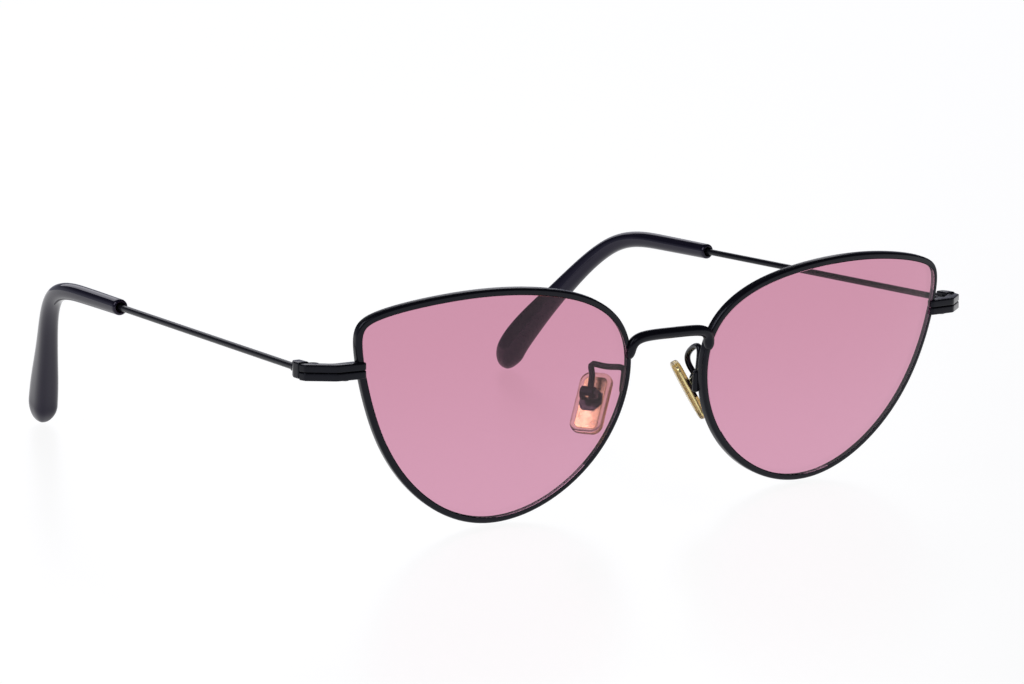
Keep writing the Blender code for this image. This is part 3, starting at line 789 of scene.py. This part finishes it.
@dataclass
class Workshop:
    """Turns solids into pieces of the scene."""

    offset: Array
    finishes: dict[Slot, bpy.types.Material]

    def add(self, name: str, solid: Solid, slot: Slot, body: str, *nodes: str, crisp: float = 38.0) -> None:
        """Makes one piece.

        Args:
            name: the piece's name.
            solid: its surface, in level-frame millimetres.
            slot: the material slot it takes its finish from.
            body: the CAD body it rides on.
            nodes: the CAD nodes it stands for.
            crisp: the angle in degrees above which an edge stays sharp.
        """
        points = (solid.points + self.offset) * MM
        faces = [face for group in solid.faces for face in group.tolist()]
        mesh = bpy.data.meshes.new(name)
        mesh.from_pydata(points.tolist(), [], faces)
        mesh.shade_smooth()
        mesh.set_sharp_from_angle(angle=math.radians(crisp))
        mesh.materials.append(self.finishes[slot])
        piece = bpy.data.objects.new(name, mesh)
        bpy.context.scene.collection.objects.link(piece)
        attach(piece, body)
        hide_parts(*nodes)
        LOG.info("%s: %d points on %s", name, len(points), body)


FRONT = placed((0, 0, 0), turn(0, 8.3))


@dataclass(frozen=True)
class Glazing:
    """One eyewire and its lens, on a sphere."""

    side: Side
    outline: tuple[Flat, ...] = (
        (23.2, 10.3), (21.3, 14.1), (7.1, 17.2), (-7.5, 17.9), (-23.7, 15.2), (-33.7, 7.8),
        (-34.4, -4.5), (-29.2, -15.5), (-18.9, -23.4), (-5.8, -26.2), (7.2, -20.9), (18.1, -8.7))
    offset: float = 42.93
    wrap: float = 5.62
    base_radius: float = 104.4
    half_width: float = 0.62
    half_depth: float = 0.88
    lock_height: float = 4.9
    slit: float = 0.3
    lens_half: float = 0.85
    bevel_half: float = 0.26
    tongue_half: float = 0.06
    tongue_inset: float = 0.3

    @property
    def place(self) -> Place:
        """The lens frame: X outwards on the left, Y up, Z towards the front."""
        sign = self.side.value
        return FRONT.within(placed((sign * self.offset, 0, 0), turn(2, sign * self.wrap), turn(0, 90)))

    def shape(self, inward: float = 0.0) -> Array:
        """The outline moved inwards, as (outward, up) points that start beside the lock.

        Args:
            inward: how far in, in millimetres.

        Returns:
            The points, without a repeat of the first.
        """
        base = spline(self.outline, 60, closed=True)
        beside = np.abs(base[:, 1] - self.lock_height) + 100 * (base[:, 0] < 0)
        base = np.roll(base, -int(beside.argmin()), axis=0)
        return base - normals(base) * inward

    def sag(self, points: Array) -> Array:
        """Depth of the sphere behind its front plane: the squared distance over twice the radius."""
        return np.sum(points ** 2, axis=-1) / (2 * self.base_radius)

    def local(self, points: Array, forward: Array) -> Array:
        """Outline points and heights over the front plane, as points of the lens frame."""
        forward = np.broadcast_to(forward, points.shape[:-1])
        return np.stack([self.side.value * points[..., 0], points[..., 1], forward], -1)

    def section(self) -> Array:
        """The channel's profile, as (outward, forward) pairs: a rounded bar with a V groove inside.

        Returns:
            The profile's points.
        """
        w, d = self.half_width, self.half_depth
        corners = ((w, d), (-w, d), (-w, 0.44), (-0.15, 0.13), (-0.15, -0.13), (-w, -0.44), (-w, -d), (w, -d))
        return rounded(corners, (0.46, 0.26, 0.07, 0.04, 0.04, 0.07, 0.26, 0.46), 5)

    def eyewire(self) -> Solid:
        """The channel carried round the outline from one side of the slit to the other.

        Returns:
            The eyewire.
        """
        loop = self.shape()
        line = Line(np.vstack([loop, loop[:1]]))
        stations = np.linspace(self.slit / 2, line.length - self.slit / 2, 420)
        centres, along = line.at(stations), line.tangent(stations)
        outward = np.column_stack([along[:, 1], -along[:, 0]])
        outward *= np.sign(np.sum(outward * centres))
        section = self.section()
        flat = centres[:, None] + outward[:, None] * section[None, :, :1]
        forward = section[None, :, 1] - self.sag(centres)[:, None]
        return skin(self.local(flat, forward), Ends.FLAT).at(self.place)

    def lens(self) -> Solid:
        """Two spherical faces joined by an edge that is bevelled into the groove.

        Returns:
            The lens.
        """
        rim, edge, tongue = self.shape(), self.shape(self.half_width - 0.05), self.shape(self.tongue_inset)
        middle = rim.mean(0)
        share = np.sqrt(np.linspace(0.0004, 1, 30))
        disc = middle + (edge - middle)[None] * share[:, None, None]
        depth = self.sag(disc)
        base = self.sag(rim)
        rings = ((edge, self.bevel_half), (tongue, self.tongue_half), (tongue, -self.tongue_half),
                 (edge, -self.bevel_half))
        bevel = [self.local(ring, height - base) for ring, height in rings]
        front = self.local(disc, self.lens_half - depth)
        back = self.local(disc, -self.lens_half - depth)[::-1]
        return skin(np.concatenate([front, np.stack(bevel), back])).at(self.place)

    def build(self, shop: Workshop) -> None:
        """Adds the eyewire and the lens.

        Args:
            shop: what makes the pieces.
        """
        label = self.side.label
        shop.add(f"rim_wire_{label}", self.eyewire(), Slot.BLACK, "front", f"eyewire_{label}", crisp=50)
        shop.add(f"lens_panel_{label}", self.lens(), Slot.TINT, "front", f"lens_{label}")


@dataclass(frozen=True)
class Bridge:
    """The round bar arched between the eyewires, its feet soldered to their fronts."""

    radius: float = 1.0
    half: tuple[Point, ...] = (
        (9.0, 1.25, 2.35), (8.95, 1.3, 3.8), (8.5, 1.2, 5.6), (6.7, 1.0, 6.45), (3.6, 0.9, 6.6),
        (1.2, 0.9, 6.6))
    end_round: float = 1.7

    def build(self, shop: Workshop) -> None:
        """Adds the bar.

        Args:
            shop: what makes the pieces.
        """
        half = spline(self.half, 20)
        route = np.vstack([half, half[::-1] * (-1, 1, 1)])
        bar = rod(Line(route), self.radius, self.end_round, sides=36, step=0.3)
        shop.add("bridge_bar", bar.at(FRONT), Slot.BLACK, "front", "bridge")


@dataclass(frozen=True)
class Endpiece:
    """The bent bar at the front's outer end, split level and closed by the lock screw."""

    side: Side
    plan: tuple[Flat, ...] = (
        (63.5, 2.15), (69.4, 2.5), (73.8, 5.9), (74.1, 7.3), (71.85, 7.3), (71.6, 6.9), (68.9, 4.75),
        (63.5, 4.75))
    radii: tuple[float, ...] = (0.7, 1.8, 0.8, 0.14, 0.14, 0.3, 1.8, 0.7)
    heights: tuple[float, ...] = (4.0, 5.37, 5.43, 6.8)
    lock: Flat = (67.2, 3.7)

    def build(self, shop: Workshop) -> None:
        """Adds both halves and the screw, its head just proud of the lower half.

        Args:
            shop: what makes the pieces.
        """
        label, sign = self.side.label, self.side.value
        outline = rounded(self.plan, self.radii, 8) * (sign, 1)
        low, split_low, split_high, high = self.heights
        lower = slab(outline, low, split_low, 0.2)
        upper = slab(outline, split_high, high, 0.26)
        shop.add(f"end_lower_{label}", lower, Slot.BLACK, "front", f"endpiece_lower_{label}")
        shop.add(f"end_upper_{label}", upper, Slot.BLACK, "front", f"endpiece_upper_{label}")
        sunk = placed((sign * self.lock[0], self.lock[1], low + 0.12), turn(0, 180))
        head = slotted_head(0.72, 0.3, 0.2, 0.16).at(sunk)
        shop.add(f"lock_screw_{label}", head, Slot.STEEL, "front", f"rim_lock_screw_{label}")


@dataclass(frozen=True)
class Hinge:
    """The three-knuckle hinge: outer knuckles on the front, the middle one on the temple, and its screw."""

    side: Side
    pin: Flat = (70.6, 8.6)
    knuckle: float = 1.15
    spine: tuple[Flat, ...] = ((69.3, 5.4), (71.25, 6.95), (71.0, 7.2), (69.5, 7.2))
    ear: tuple[Flat, ...] = ((69.3, 5.4), (71.25, 6.95), (71.6, 7.75), (69.5, 7.75))
    leaf: tuple[Flat, ...] = ((70.8, 8.4), (71.75, 8.4), (71.75, 10.4), (71.1, 10.4), (70.3, 9.4))
    lowest: Flat = (3.7, 4.65)
    middle: Flat = (4.75, 5.65)
    well: tuple[Flat, ...] = ((0.78, 5.9), (0.78, 6.34), (0.84, 6.4), (1.09, 6.4), (1.15, 6.34), (1.15, 5.9))

    def build(self, shop: Workshop) -> None:
        """Adds the front leaf, the temple leaf and the screw.

        Args:
            shop: what makes the pieces.
        """
        label, sign = self.side.label, self.side.value
        centre = (sign * self.pin[0], self.pin[1])
        ear = rounded(self.ear, 0.15, 3) * (sign, 1)
        spine = rounded(self.spine, 0.08, 3) * (sign, 1)
        barrel = circle(self.knuckle, 40, centre)
        rim = turned(self.well, Ends.JOINED).at(placed((*centre, 0)))
        front = joined(slab(ear, *self.lowest, 0.1), slab(barrel, *self.lowest, 0.1),
                       slab(spine, 4.6, 5.8, 0.05), slab(ear, 5.75, 6.35, 0.1),
                       slab(barrel, 5.75, 6.12, 0.06), rim)
        shop.add(f"knuckles_{label}", front, Slot.BLACK, "front", f"hinge_front_leaf_{label}")
        leaf = rounded(self.leaf, 0.12, 3) * (sign, 1)
        swung = joined(slab(leaf, *self.middle, 0.08), slab(barrel, *self.middle, 0.08))
        body, node = f"temple_{label}", f"hinge_temple_leaf_{label}"
        shop.add(f"knuckle_middle_{label}", swung, Slot.BLACK, body, node)
        head = slotted_head(0.68, 0.3, 0.2, 0.15).at(placed((*centre, 6.05), turn(2, 24 * sign)))
        shank = rod(straight((*centre, 3.75), (*centre, 6.3)), 0.42, 0.08, 24)
        shop.add(f"pivot_screw_{label}", joined(head, shank), Slot.STEEL, "front", f"hinge_screw_{label}")


@dataclass(frozen=True)
class Temple:
    """One temple: the stamped block, the wire and the moulded tip."""

    side: Side
    block: tuple[Flat, ...] = ((71.95, 7.42), (74.13, 7.42), (74.1, 9.2), (73.5, 10.5), (71.95, 10.5))
    block_heights: Flat = (4.15, 7.0)
    start: Point = (72.55, 10.8, 5.6)
    mouth: Point = (69.1, 77.8, 6.6)
    wire_radius: float = 0.62
    bend: tuple[Point, ...] = (
        (67.7, 108.1, 6.9), (62.1, 120.0, -6.2), (56.9, 132.0, -20.2), (57.1, 132.3, -25.0))
    straight_run: float = 15.0
    sections: tuple[Point, ...] = (
        (0, 3.05, 3.05), (12, 3.2, 3.2), (24, 3.3, 3.3), (38, 3.6, 3.5), (48, 4.2, 3.9), (56, 5.35, 4.5),
        (62, 6.15, 5.0), (66, 6.3, 5.05), (71.1, 6.3, 5.05))
    dome: float = 4.7
    bore: tuple[Flat, ...] = (
        (1.9, 0.66), (1.7, 0.84), (0.5, 0.92), (0.12, 0.95), (0.0, 1.08), (0.0, 1.22), (0.08, 1.38),
        (0.22, 1.48))
    core_end: float = 10.0
    ferrule_radius: float = 0.86

    def tip_line(self) -> Line:
        """The tip's centre line: straight, then one bend down behind the ear.

        Returns:
            The line, from the tip's mouth to its end.
        """
        start, mouth = np.array(self.start), np.array(self.mouth)
        control = [mouth, mouth + unit(mouth - start) * self.straight_run, *np.array(self.bend)]
        return Line(spline(np.array(control) * (self.side.value, 1, 1), 60))

    def tip(self) -> Solid:
        """The moulded tip.

        The section is a superellipse: its points are (|cos a|^(2/n), |sin a|^(2/n)) with the signs kept, and
        n goes from a circle's 2 at the mouth to 2.9 on the paddle. The last stretch is domed: a section at q
        of that stretch is sqrt(1 - q^2) of its full size. The rings start in the bore and turn over the lip.

        Returns:
            The tip, closed inside its bore.
        """
        line = self.tip_line()
        bore = np.array(self.bore)
        ending = line.length - self.dome * (1 - np.sin(np.linspace(0, np.pi / 2, 16)))[:-1]
        outer = np.concatenate([[0.45], np.arange(1.0, line.length - self.dome, 0.5), ending])
        table = spline(np.array(self.sections, float) * (line.length / self.sections[-1][0], 1, 1), 12)
        q = np.clip((outer - line.length + self.dome) / self.dome, 0, 1)
        size = np.stack([np.interp(outer, table[:, 0], table[:, k]) for k in (1, 2)], 1) / 2
        size *= np.sqrt(1 - q ** 2)[:, None]
        sizes = np.vstack([np.repeat(bore[:, 1:], 2, axis=1), size])
        stations = np.concatenate([bore[:, 0], outer])
        across, upward = square_axes(line.tangent(stations), np.array((1.0, 0.0, 0.0)))
        power = 2 / np.interp(stations, (2.0, 40.0, 58.0), (2.0, 2.3, 2.9))[:, None]
        ring = circle(1.0, 56)
        cosine = np.sign(ring[:, 0]) * np.abs(ring[:, 0]) ** power * sizes[:, 1:]
        sine = np.sign(ring[:, 1]) * np.abs(ring[:, 1]) ** power * sizes[:, :1]
        spread = cosine[..., None] * across[:, None] + sine[..., None] * upward[:, None]
        return skin(line.at(stations)[:, None] + spread)

    def build(self, shop: Workshop) -> None:
        """Adds the block, the wire and the tip.

        Args:
            shop: what makes the pieces.
        """
        label, sign = self.side.label, self.side.value
        body = f"temple_{label}"
        outline = rounded(self.block, (0.2, 0.25, 0.9, 0.5, 0.3), 6) * (sign, 1)
        start, mouth = np.array(self.start) * (sign, 1, 1), np.array(self.mouth) * (sign, 1, 1)
        along = unit(mouth - start)
        ferrule = rod(straight(start - along * 0.9, start + along * 0.75), self.ferrule_radius, 0.35)
        block = joined(slab(outline, *self.block_heights, 0.3), ferrule)
        shop.add(f"stop_block_{label}", block, Slot.BLACK, body, f"temple_block_{label}")
        line = self.tip_line()
        core = line.at(np.linspace(0.0, line.length - self.core_end, 200))
        route = np.vstack([np.linspace(start - along * 0.5, core[0], 60)[:-1], core])
        wire = rod(Line(route), self.wire_radius, 0.15)
        shop.add(f"arm_wire_{label}", wire, Slot.BLACK, body, f"temple_wire_{label}")
        shop.add(f"ear_tip_{label}", self.tip(), Slot.TIP, body, f"temple_tip_{label}")


@dataclass(frozen=True)
class NosePad:
    """The arm, the box, the metal insert and the clear pad that rocks on the pad screw."""

    side: Side
    pivot: Point = (12.6, 8.75, -4.35)
    splay: float = 30.0
    lean: float = 29.0
    rocked: float = 4.0
    size: Flat = (6.1, 11.7)
    corner: float = 1.9
    reach: float = 1.45
    thickness: float = 1.8
    drop: float = 0.95
    margin: float = 0.85
    level_arm: tuple[Point, ...] = (
        (8.6, 4.2, -3.9), (8.5, 3.95, -1.6), (8.35, 3.6, 0.8), (9.0, 5.4, 0.6), (10.0, 7.9, 0.35),
        (11.1, 10.7, 1.0), (11.3, 9.2, -0.9), (11.9, 8.9, -2.8), (12.5, 8.75, -4.2))
    sloped_arm: tuple[Point, ...] = (
        (8.9, 3.9, -3.0), (8.85, 3.6, -0.5), (8.9, 3.2, 2.5), (9.3, 4.6, 2.9), (9.9, 7.0, 2.0),
        (10.7, 9.6, 0.2), (11.1, 9.5, -1.6), (11.9, 8.9, -3.0), (12.5, 8.75, -4.2))
    foot: tuple[Point, Point] = ((8.6, 4.1, -3.6), (8.4, 3.7, 0.4))
    foot_drop: float = 2.0
    foot_radius: float = 0.62
    arm_radius: float = 0.56
    cheek: float = 1.3
    cheek_heights: Flat = (0.5, 1.25)

    @property
    def place(self) -> Place:
        """The pad frame: X points away from the nose on the left, Y is the screw's axis, Z is up.

        Returns:
            The frame, its origin on the screw.
        """
        sign = self.side.value
        origin = (sign * self.pivot[0], *self.pivot[1:])
        lean = self.lean + (0.0 if self.side is Side.LEFT else self.rocked)
        return placed(origin, turn(2, -sign * self.splay), turn(1, -sign * lean))

    @property
    def across_screw(self) -> Place:
        """A frame whose Z runs along the screw towards its head."""
        return self.place.within(placed((0, 0, 0), turn(0, 90)))

    @property
    def facing_nose(self) -> Place:
        """A frame whose Z runs towards the nose and whose Y is up the pad.

        Returns:
            The frame, its origin below the screw by the drop.
        """
        sign = self.side.value
        basis = np.array([[0, 0, -sign], [-sign, 0, 0], [0, 1, 0]], float)
        return self.place.within(Place(basis, np.array((0, 0, -self.drop))))

    def plate(self, margin: float) -> Array:
        """The pad's rounded rectangle, drawn in by a margin."""
        w, h = self.size[0] / 2 - margin, self.size[1] / 2 - margin
        return rounded(((w, h), (-w, h), (-w, -h), (w, -h)), self.corner - margin, 12)

    def box(self) -> Solid:
        """Two round cheeks joined by a back wall, soldered to the arm's end.

        Returns:
            The box.
        """
        sign = self.side.value
        start = math.acos(0.95 / self.cheek)
        angle = np.linspace(-start, start, 16)
        wall = np.column_stack([np.cos(angle) * sign, np.sin(angle)]) * self.cheek
        disc, (near, far) = circle(self.cheek), self.cheek_heights
        return joined(slab(disc, -far, -near, 0.12), slab(disc, near, far, 0.12),
                      slab(wall, -0.6, 0.6, 0.03)).at(self.across_screw)

    def insert(self) -> Solid:
        """The metal plate and the tongue that the screw passes through.

        Returns:
            The insert.
        """
        plate = slab(self.plate(self.margin), self.reach + 0.55, self.reach + 1.0, 0.1)
        eye = slab(circle(0.85), -0.35, 0.35, 0.06).at(self.across_screw)
        stem = rounded(((0, 0.77), (0, -0.77), (-2.4, -0.77), (-2.4, 0.77)), 0.1, 3) * (self.side.value, 1)
        return joined(plate.at(self.facing_nose), eye, slab(stem, -0.35, 0.35, 0.06).at(self.across_screw))

    def base(self) -> Solid:
        """The dark stamped seat on the insert's back, which tapers below the box.

        Returns:
            The seat and its lug.
        """
        corners = ((1.9, 1.7), (-1.9, 1.7), (-2.1, -0.5), (-0.9, -1.9), (1.5, -1.9), (2.1, -0.7))
        seat = slab(rounded(corners, 0.45) + (0.0, self.drop - 0.6), self.reach + 0.02, self.reach + 0.6, 0.12)
        lug = slab(circle(1.05, 32), 0.62, 0.95, 0.1).at(self.across_screw)
        return joined(seat.at(self.facing_nose), lug)

    def build(self, shop: Workshop) -> None:
        """Adds the arm, box and screw on the front, and the insert and pad on their own body.

        Args:
            shop: what makes the pieces.
        """
        label, sign = self.side.label, self.side.value
        arm = self.sloped_arm if self.side is Side.LEFT else self.level_arm
        route = Line(spline(np.array(arm) * (sign, 1, 1), 24))
        drop = np.array((0.0, 0.0, self.foot_drop if self.side is Side.LEFT else 0.0))
        foot = straight(*((np.array(end) - drop) * (sign, 1, 1) for end in self.foot))
        arm = joined(rod(route, self.arm_radius, 0.3), rod(foot, self.foot_radius, 0.4))
        shop.add(f"pad_wire_{label}", arm, Slot.BLACK, "front", f"pad_arm_{label}")
        shop.add(f"pad_clip_{label}", self.box(), Slot.BLACK, "front", f"pad_box_{label}")
        head = slotted_head(0.8, 0.4, 0.2, 0.18).at(placed((0, 0, 1.3), turn(2, 20)))
        shank = rod(straight((0, 0, -1.2), (0, 0, 1.35)), 0.36, 0.08, 20)
        screw = joined(head, shank).at(self.across_screw)
        shop.add(f"clip_screw_{label}", screw, Slot.STEEL, "front", f"pad_screw_{label}")
        shop.add(f"pad_insert_{label}", self.insert(), Slot.GOLD, f"pad_{label}", f"pad_core_{label}")
        shop.add(f"pad_seat_{label}", self.base(), Slot.BLACK, f"pad_{label}")
        pad = slab(self.plate(0.0), self.reach, self.reach + self.thickness - 0.15, 0.55, crown=0.15)
        shop.add(f"soft_pad_{label}", pad.at(self.facing_nose), Slot.SILICONE, f"pad_{label}",
                 f"nose_pad_{label}", crisp=80)


# ---------------------------------------------------------------- studio

@dataclass(frozen=True)
class Card:
    """A soft light: a glowing rectangle that points at the glasses."""

    name: str
    place: Point
    size: Flat
    watts: float
    colour: Colour = (1.0, 1.0, 1.0)

    def build(self) -> None:
        """Adds the area light, aimed at the middle of the glasses."""
        light = bpy.data.lights.new(self.name, "AREA")
        light.shape = "RECTANGLE"
        light.size, light.size_y = self.size
        light.energy = self.watts
        light.color = self.colour
        holder = bpy.data.objects.new(self.name, light)
        back = unit(np.array(self.place) - np.array((0.0, 0.0, 0.02)))
        right = unit(np.cross((0.0, 0.0, 1.0), back))
        holder.matrix_world = camera_matrix(right, np.cross(back, right), back, np.array(self.place))
        bpy.context.scene.collection.objects.link(holder)


@dataclass(frozen=True)
class Studio:
    """The pale floor, the sky round it and the soft lights."""

    floor_half: float = 6.0
    floor_drop: float = 0.0002
    horizon: Colour = (0.38, 0.39, 0.47)
    overhead: Colour = (0.05, 0.05, 0.075)
    front: Colour = (0.17, 0.17, 0.21)
    cards: tuple[Card, ...] = (
        Card("side", (-1.25, 0.07, 1.08), (1.2, 0.9), 12.0, (0.97, 0.96, 1.0)),
        Card("key", (-0.9, -1.4, 1.3), (0.6, 0.6), 2.0, (0.93, 0.94, 1.0)),
        Card("rear", (0.6, 1.6, 0.9), (1.6, 0.7), 5.0, (0.95, 0.95, 1.0)),
    )

    def floor(self) -> None:
        """Adds the floor, just under the lowest point."""
        reach, drop = self.floor_half, -self.floor_drop
        mesh = bpy.data.meshes.new("floor")
        corners = [(-reach, -reach, drop), (reach, -reach, drop), (reach, reach, drop), (-reach, reach, drop)]
        mesh.from_pydata(corners, [], [(0, 1, 2, 3)])
        mesh.materials.append(Paper().make())
        made = bpy.data.objects.new("floor", mesh)
        bpy.context.scene.collection.objects.link(made)

    def sky(self) -> None:
        """Lights from all round: bright at the horizon behind, darker in front and overhead."""
        world = bpy.data.worlds.new("studio_sky")
        world.use_nodes = True
        graph = Graph(world.node_tree)
        direction = graph.node("ShaderNodeTexCoord", {}, {}, "Generated", Form.VECTOR)
        toward_front = direction.part("Y") * -0.75 + direction.part("X") * 0.65
        level = toward_front.step(-0.5, 0.4).between(self.horizon, self.front)
        colour = direction.part("Z").step(0.04, 0.42).between(level, self.overhead)
        glow = graph.node("ShaderNodeBackground", {}, {"Color": colour, "Strength": 1.0})
        output = world.node_tree.nodes.new("ShaderNodeOutputWorld")
        world.node_tree.links.new(glow.socket, output.inputs["Surface"])
        bpy.context.scene.world = world

    def build(self) -> None:
        """Adds the floor, the sky and the lights."""
        self.floor()
        self.sky()
        for card in self.cards:
            card.build()
        bpy.context.scene.view_settings.view_transform = "Standard"


def camera_matrix(right: Array, up: Array, back: Array, position: Array) -> Matrix:
    """The world matrix of something that looks along -Z.

    Args:
        right: its X, a unit vector.
        up: its Y.
        back: its Z, away from what it looks at.
        position: where it stands, in metres.

    Returns:
        The matrix.
    """
    made = np.eye(4)
    made[:3, :3] = np.column_stack([right, up, back])
    made[:3, 3] = position
    return Matrix(made.tolist())


@dataclass(frozen=True)
class Viewpoint:
    """The camera: a long lens to the wearer's right, a little above the glasses."""

    position: Point = (-398.633, -515.742, 114.022)
    azimuth: float = -35.175
    elevation: float = 9.530
    roll: float = 0.448
    focal: float = 129.595

    def build(self, offset: Array) -> None:
        """Adds the camera and makes it the scene's.

        Args:
            offset: the level frame's origin in the row frame, in millimetres.
        """
        a, e, r = (math.radians(v) for v in (self.azimuth, self.elevation, self.roll))
        back = np.array((math.sin(a) * math.cos(e), -math.cos(a) * math.cos(e), math.sin(e)))
        level = np.array((math.cos(a), math.sin(a), 0.0))
        upright = np.cross(back, level)
        right = level * math.cos(r) + upright * math.sin(r)
        up = upright * math.cos(r) - level * math.sin(r)
        data = bpy.data.cameras.new("camera")
        data.lens, data.sensor_width = self.focal, 36.0
        data.clip_start, data.clip_end = 0.01, 50.0
        made = bpy.data.objects.new("camera", data)
        made.matrix_world = camera_matrix(right, up, back, (np.array(self.position) + offset) * MM)
        bpy.context.scene.collection.objects.link(made)
        bpy.context.scene.camera = made


# ---------------------------------------------------------------- build

def level_origin() -> Array:
    """Where the level frame's origin lies in the row frame, in millimetres, from the left hinge's pin."""
    pin = next(joint for joint in frame["joints"] if joint["name"] == "temple_fold_left")
    return np.array(pin["pos_m"]) / MM - np.array((70.6, 8.6, 5.4))


def finishes() -> dict[Slot, bpy.types.Material]:
    """One material for each slot.

    Returns:
        The materials by slot.
    """
    return {
        Slot.BLACK: Lacquer().make(),
        Slot.STEEL: Metal("screw_steel_dark", (0.06, 0.06, 0.066), 0.22, (8.0, 1.5, 8.0)).make(),
        Slot.TINT: Tint().make(),
        Slot.TIP: GlossPlastic().make(),
        Slot.GOLD: Metal("gold_insert", (1.0, 0.96, 0.56), 0.17, (5.0, 5.0, 0.8)).make(),
        Slot.SILICONE: Silicone().make(),
    }


def main() -> None:
    """Builds the camera, the studio and every piece of the glasses."""
    logging.basicConfig(level=logging.INFO, format="%(message)s")
    offset = level_origin()
    Viewpoint().build(offset)
    Studio().build()
    shop = Workshop(offset, finishes())
    for side in Side:
        for part in (Glazing(side), Endpiece(side), Hinge(side), Temple(side), NosePad(side)):
            part.build(shop)
    Bridge().build(shop)


if __name__ == "__main__":
    main()
